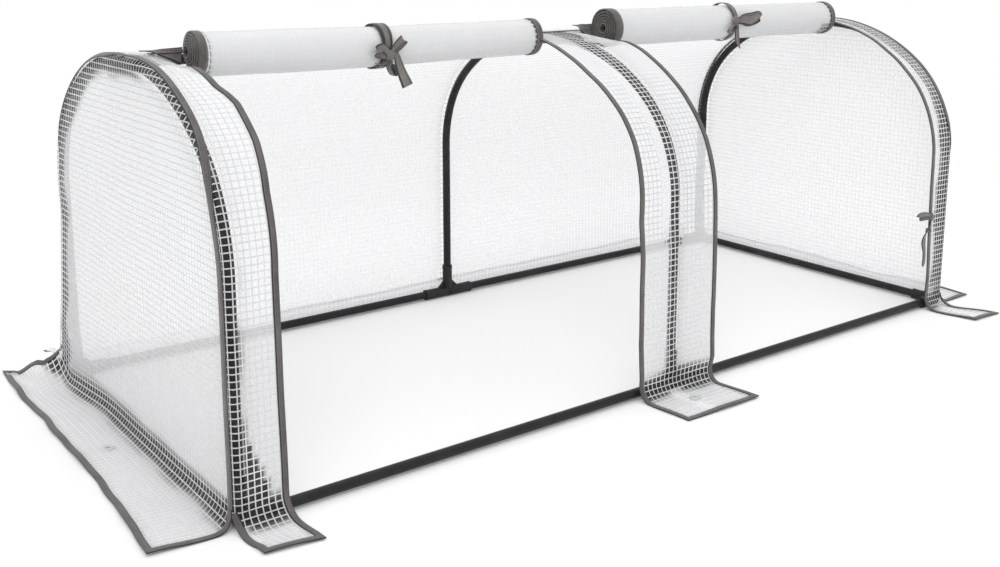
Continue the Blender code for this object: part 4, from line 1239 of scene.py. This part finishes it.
def roll_size(x, name):
    """The roll's outer radius and how far its middle lies above the CAD's line."""
    stations, radii, rises = ROLLS[name]
    end = 1 - step_up(x, -0.7225, -0.7050) if name == "left" else 0.0
    return np.interp(x, stations, radii) - 0.0055 * end, np.interp(x, stations, rises) + 0.0050 * end


def roll_end(name, side, share):
    """Where the rolled sheet's side edge lies, at a share of its length."""
    if side < 0:
        return -0.7225 - 0.0105 * share**0.8 if name == "left" else 0.0800 - 0.0030 * share
    return (-ROLL_INNER if name == "left" else ROLL_OUTER) + 0.003 * share


def roll_place(x, share, name):
    """A place on the rolled sheet at a share of its length."""
    angle = -2 * math.pi * ROLL_TURNS * share
    size, rise = roll_size(x, name)
    radius = size - 0.0004
    radius -= (radius - ROLL_CORE) * share
    c, s = math.cos(angle), math.sin(angle)
    spot = np.array([x, c * 0.05 + share * 0.3, s * 0.05])
    wobble = 0.0010 * ripple(spot, 0.22, 11 if name == "left" else 12) * (1 - 0.5 * share)
    radius = max(radius + min(wobble, 0.0004), 0.004)
    return x, radius * c - ROLL_SETBACK - ROLL_FORWARD, ROLL_HEIGHT + rise + radius * s


def make_roll(name):
    steps, columns, lead = ROLL_TURNS * 28, 90, 4
    shares = [max(0.0, k / steps) for k in range(-lead, steps + 1)]
    ends = np.array([[roll_end(name, side, share) for side in (-1, 1)] for share in shares])
    points = np.empty((len(shares), columns, 3))
    for c in range(columns):
        t = c / (columns - 1) * 2 - 1
        t = 0.5 + 0.5 * (t + 0.35 * t * (1 - t * t) * 0.9)
        for k in range(lead, len(shares)):
            points[k, c] = roll_place(ends[k, 0] * (1 - t) + ends[k, 1] * t, shares[k], name)
        first = points[lead, c]
        seam = np.array([first[0], -SEAM_SETBACK - 0.004, CREST_FILM + 0.0006])
        for k in range(lead):
            f = k / lead
            points[k, c] = seam * (1 - f) + first * f + Z * 0.002 * math.sin(math.pi * f)
    along = lengths(points[:, columns // 2])
    x = points[..., 0]
    flat = np.stack([x, np.broadcast_to(along[:, None], x.shape)], axis=-1)
    # Painted shade: the windows go dark just inside the tapes at the roll's ends, and on the right roll low at the
    # front near its right end.
    from_end = np.minimum(x - ends[:, :1], ends[:, 1:] - x) - ROLL_MOUTH
    dark = 1 - step_up(from_end * (1 + 0.4 * ripple(points, 0.05, 15)), 0.0020, 0.0060)
    if name == "right":
        low = step_up(ROLL_HEIGHT - points[..., 2], 0.004, 0.016) * (points[..., 1] < -ROLL_SETBACK)
        dark = np.maximum(dark, low * (1 - step_up(ends[:, 1:] - x, 0.030, 0.050)))
    tones = {"clear": np.full(dark.shape, 0.10), "window": 0.885 * (1 - 0.93 * dark), "thread": 0.85 + 0.05 * dark}
    faces = grid_faces(*x.shape)
    film = film_piece(f"door_film_{name}", points.reshape(-1, 3), faces, flat.reshape(-1, 2), tones, ROLLED)
    body = f"door_roll_{name}_body"
    assign(film, "film", f"door_roll_{name}", body=body)
    normals = points - np.array([0.0, -ROLL_SETBACK, ROLL_HEIGHT])
    normals[..., 0] = 0
    normals = unit(normals)
    for side, column, inner in (("left", 0, 3), ("right", -1, -4)):
        depth = 0.0175 if (name, side) == ("right", "left") else TAPE_DEPTH
        profile = tape_profile(depth, 0.0030 if name == "left" else 0.0032, 0.0009)
        frames = edge_frames(points[:, column], points[:, inner], normals[:, column])
        tape = sweep(f"door_tape_{name}_{side}", *frames, profile, plain=True)
        assign(tape, "tape", body=body)


def smooth_line(keys, count):
    """A Catmull-Rom line through key points, evenly enough spaced."""
    keys = np.asarray(keys, float)
    padded = np.vstack([2 * keys[0] - keys[1], keys, 2 * keys[-1] - keys[-2]])
    line = []
    spans = len(keys) - 1
    for k in range(count):
        t = spans * k / (count - 1)
        i = min(int(t), spans - 1)
        f = t - i
        a, b, c, d = padded[i : i + 4]
        line.append(0.5 * (2 * b + (c - a) * f + (2 * a - 5 * b + 4 * c - d) * f**2 + (3 * b - a - 3 * c + d) * f**3))
    return np.array(line)


def ribbon(name, keys, wides, widths, thick=0.0010, count=40):
    """A flat ribbon along key points, with the direction and size of its width at each."""
    line = smooth_line(keys, count)
    wide = smooth_line(wides, count)
    size = smooth_line([[w] for w in widths], count)[:, 0]
    along = unit(np.gradient(line, axis=0))
    wide = unit(wide - along * np.sum(wide * along, axis=1, keepdims=True))
    loops, flat = [], []
    shares = (-0.5, -0.3, 0.0, 0.3, 0.5)
    for p, w, n, s, gone in zip(line, wide, np.cross(along, wide), size, lengths(line)):
        section = []
        for side, order in ((1, shares), (-1, shares[::-1])):
            section += [p + w * (s * f) + n * (side * thick / 2 - 0.2 * s * f * f) for f in order]
            flat += [(TAPE_SPAN * (f - 0.5), gone) for f in order]
        loops.append(section)
    return closed_loops(name, loops, RIBBON, flat, 55)


def lump(name, centre, a, b, c, sizes):
    """A rounded knot with ribbon creases."""
    loops, flat = [], []
    for t in spaced(0, math.pi, 12, 1):
        loop = []
        for s in spaced(0, 2 * math.pi, 20):
            crease = 1 - 0.10 * math.cos(3 * s + 1.4 * math.cos(t)) * math.sin(t)
            u = math.cos(t) * sizes[0]
            v = math.sin(t) * math.cos(s) * sizes[1] * crease
            w = math.sin(t) * math.sin(s) * sizes[2] * crease
            loop.append(centre + a * u + b * v + c * w)
            flat.append((v * 0.5 - TAPE_SPAN / 2, u))
        loops.append(loop)
    return closed_loops(name, loops, RIBBON, flat, 60)


# A tie band's section: shares of its width, and heights off the roll
BAND = (
    (-0.5, 0.0), (-0.48, 0.0008), (-0.2, 0.0011), (0.2, 0.0011),
    (0.48, 0.0008), (0.5, 0.0), (0.2, -0.0002), (-0.2, -0.0002),
)

# Each bow, in mm: its band's width and the share that it is pinched by, how many degrees down the
# roll it sits, its knot's place and sizes, and its strands. A strand has the directions of its
# width, one for all or one for each key, and its keys: along the roll, up, out of it, and a width.
BOWS = {
    "left": (22.5, 0.35, 17, (3.8, -2, 0), (10.5, 8, 5.5), (
        ((0.65, -0.7, 0.2), (
            (4, 3, 1, 8), (8.9, 11.2, 1, 10), (11.7, 19, 4, 12), (15.8, 26.2, 6, 13),
            (21.5, 26.2, 3, 14), (23.2, 20, 0, 14), (17.5, 11.2, -1, 12), (6, 1, 0, 8),
        )),
        ((-0.55, -0.75, 0.2), (
            (1, 1, 1, 9), (-5.1, 8.3, 1, 12), (-16, 14.8, 4, 14), (-23.5, 10.3, 5, 15),
            (-23.7, 5.1, 3, 14), (-13.2, -0.5, 0, 12), (1, -2, 0, 9),
        )),
        ((0.1, 0.25, 1), ((2, -6, 1, 9), (-1.4, -11.2, 1, 10), (-10.7, -15, 3, 12), (-20.5, -11.6, 4, 13))),
        ((0.5, 0.1, 0.85), (
            (3.8, -9.6, 1, 10), (1.7, -21, 4, 10), (10.5, -33.7, 5, 10), (17.2, -31.4, 2, 10), (12.1, -16.7, 0, 10),
        )),
        ((1, 0.1, 0.2), (
            (11, 4, 0, 9), (13.4, 0.2, 2.2, 10), (13.5, -10, 12.7, 13),
            (15.7, -22.9, 22.5, 16), (20.1, -34.3, 29.1, 18), (23.5, -42.1, 32.4, 19),
        )),
    )),
    "right": (14, 0.43, 6, (-5.7, 8.3, 0), (10, 7, 5.5), (
        ((
            (0, 1, 0.2), (-0.15, 1, 0.15), (-0.2, 1, 0.15), (0.3, 1, 0.2), (0.5, 0.9, 0.3),
            (0.3, 1, 0.2), (0.1, 1, 0.2), (0, 1, 0.2), (0, 1, 0.2),
        ), (
            (-5, 6.6, 1, 9), (13, 11.6, 5, 22), (32.3, 11, 8, 29), (50, 16, 8, 24), (61, 13, 5, 14),
            (52, 10, 2, 22), (32.3, 8.5, 1, 26), (13, 8.5, 1, 16), (-3, 6, 0, 9),
        )),
        ((0.2, 0.35, 0.9), (
            (-5.6, 3, 1, 9), (-19.9, -4.3, 4, 11), (-23.9, -13, 5, 12), (-11.4, -12.9, 3, 11), (-0.7, -3.7, 0, 9),
        )),
        (((1, 0.1, 0.3), (1, 0.1, 0.3), (1, 0.1, 0.3), (1, 0.2, 0.3), (1, 0.4, 0.3)), (
            (-2, 3, 0, 8), (-0.5, -4.5, 1, 9), (0.5, -19.5, 3, 10), (2.7, -31.6, 4, 10), (15.2, -47.7, 2, 2),
        )),
    )),
}


def make_tie(side, x):
    name = f"ribbon_{side}"
    band_width, pinch, drop, knot_at, knot_sizes, strands = BOWS[side]
    size, rise = roll_size(x, side)
    axis = np.array([x, -ROLL_SETBACK - ROLL_FORWARD, ROLL_HEIGHT + rise])
    radius = float(size) + 0.0006
    band, flat = [], []
    for a in spaced(0, 2 * math.pi, 64):
        way = Y * math.cos(a) + Z * math.sin(a)
        front = max(0.0, -math.cos(a + math.radians(-22)))
        wide = band_width * MM * (1 - pinch * front**4)
        slant = 0.002 * math.sin(a)
        band.append([axis + X * (wide * f + slant) + way * (radius + h) for f, h in BAND])
        flat += [(wide * f - TAPE_SPAN / 2, a * radius) for f, h in BAND]
    pieces = [closed_loops(f"{name}_band", band, RIBBON, flat, 60, round_way=True)]
    c, s = math.cos(math.radians(drop)), math.sin(math.radians(drop))
    ways = np.array([X, Z * c - Y * s, -Y * c - Z * s])
    origin = axis + ways[2] * (radius + BOW_OFF)
    knot_at, knot_sizes = MM * np.array([knot_at, knot_sizes])
    pieces.append(lump(f"{name}_knot", origin + knot_at @ ways, ways[1], X, ways[2], knot_sizes))
    for k, (wides, keys) in enumerate(strands):
        keys = MM * np.array(keys)
        wides = np.broadcast_to(wides, (len(keys), 3)) @ ways
        pieces.append(ribbon(f"{name}_strand_{k}", origin + keys[:, :3] @ ways, wides, keys[:, 3]))
    assign(join(name, pieces), "tape", f"door_tie_{side}", body=f"door_roll_{side}_body")


# In mm, with a width: the side tie's loop and tail, and the doors' side tapes between seam and rolls
TIE_LOOP = (
    (743.4, -356, 205.6, 9), (718.7, -358, 210.6, 11), (700.5, -358, 210.3, 12),
    (697.5, -358, 207, 12), (707, -358, 204.3, 10), (742.8, -356, 201, 8),
)
TIE_TAIL = (
    (744, -357, 197, 8), (740, -357, 178.4, 12), (727.8, -357, 168.1, 15), (720.7, -357, 152.1, 14),
    (725.1, -357, 130, 10), (725.8, -357, 108.3, 10), (722.6, -357, 99.2, 6),
)
LEADS = {
    "left": (
        (-786, -24, 604, 3), (-770, -26, 603, 5), (-753.7, -28, 600, 12), (-739.5, -29, 597, 19), (-724.8, -30, 593.5, 28),
    ),
    "right": (
        (40, -24, 609.2, 3), (50, -26, 608, 8), (60, -28, 604, 16), (70.7, -29, 599, 24), (82.3, -30, 596, 30),
    ),
}


def ribbon_in_mm(name, keys, wides, *more):
    keys = MM * np.array(keys)
    return ribbon(name, keys[:, :3], wides, keys[:, 3], *more)


def make_side_tie():
    """A small tie sewn to the inner edge of the right strip, with one loop and a tail."""
    knot = np.array([0.7434, -0.3560, 0.2020])
    tail_wides = [X * 0.8 + Y * 0.5, X * 0.5 + Z * 0.6, X * 0.8 + Y * 0.3, X, X, X, X]
    pieces = [
        lump("tie_knot", knot, Z, X, Y, (0.0095, 0.0060, 0.0045)),
        ribbon_in_mm("tie_loop", TIE_LOOP, [Y * 0.4 + Z] * 6),
        ribbon_in_mm("tie_tail", TIE_TAIL, tail_wides),
    ]
    assign(join("ribbon_side", pieces), "tape", "side_tie_right")


def make_leads():
    wides = [Y, Y * 0.9 + Z * 0.3, Y * 0.4 + Z, Y * 0.2 + Z, Y * 0.2 + Z]
    for name, keys in LEADS.items():
        assign(ribbon_in_mm(f"lead_{name}", keys, wides, 0.0012, 16), "tape")


# Camera, floor and light


WHITE = {"Color": (1.0, 1.0, 1.0, 1.0), "Strength": 1.0}


def place_object(name, data, place, way):
    """Adds a camera or a lamp that looks along a direction."""
    holder = bpy.data.objects.new(name, data)
    holder.location = place
    holder.rotation_euler = way.to_track_quat("-Z", "Y").to_euler()
    bpy.context.scene.collection.objects.link(holder)
    return holder


def make_camera():
    camera = bpy.data.cameras.new("camera")
    camera.lens = 41.05
    camera.sensor_width = 36.0
    camera.sensor_fit = "HORIZONTAL"
    camera.shift_y = -0.12
    camera.clip_start = 0.05
    camera.clip_end = 60.0
    way = Vector((0.59326, 0.78374, -0.18383))
    bpy.context.scene.camera = place_object("camera", camera, (-1.3663, -1.6569, 0.7472), way)


def make_floor():
    """A pale floor that keeps the shadow near the object and goes white further off."""
    size = 14.0
    corners = [(-size, -size, 0), (size, -size, 0), (size, size, 0), (-size, size, 0)]
    s = Surface("floor")
    s.give(Base_Color=(0.92, 0.92, 0.92, 1.0), Roughness=0.9, Specular_IOR_Level=0.0)
    x, y = s.split(s.object_place())
    squares = [s.math("POWER", value, 2.0) for value in (s.math("MULTIPLY", x, 0.62), y)]
    far = s.math("SQRT", s.math("ADD", *squares))
    share = s.math("MULTIPLY", s.ramp(far, 0.62, 1.5), s.seen_rays())
    s.end(s.mix_shaders(share, s.shader, s.add("Emission", WHITE)))
    make_piece("floor", corners, [(0, 1, 2, 3)], s.material)


def make_light():
    world = bpy.data.worlds.new("world")
    bpy.context.scene.world = world
    world.use_nodes = True
    world.node_tree.nodes.clear()
    s = Shader(world.node_tree)
    light, seen = s.add("Background", WHITE), s.add("Background", WHITE)
    output = s.tree.nodes.new("ShaderNodeOutputWorld")
    s.link(s.mix_shaders(s.seen_rays(), light, seen), output.inputs["Surface"])
    for name, place, size, power in (
        ("key", (-2.2, -2.6, 3.6), 2.6, 48.0),
        ("top", (1.2, 1.0, 4.2), 3.4, 30.0),
    ):
        lamp = bpy.data.lights.new(name, "AREA")
        lamp.shape = "SQUARE"
        lamp.size = size
        lamp.energy = power
        place_object(name, lamp, place, Vector((0, 0, 0.2)) - Vector(place))


make_camera()
make_frame()
make_connectors()
make_strips()
make_roof()
for end, end_name in ENDS:
    make_end(end_name, end)
for end, end_name in ENDS:
    make_arch_tape(end_name, end)
make_ridge_tape()
make_leads()
make_roll("left")
make_roll("right")
make_tie("left", -TIE_X - 0.004)
make_tie("right", TIE_X - 0.008)
make_side_tie()
make_floor()
make_light()
bpy.context.scene.view_settings.view_transform = "Standard"
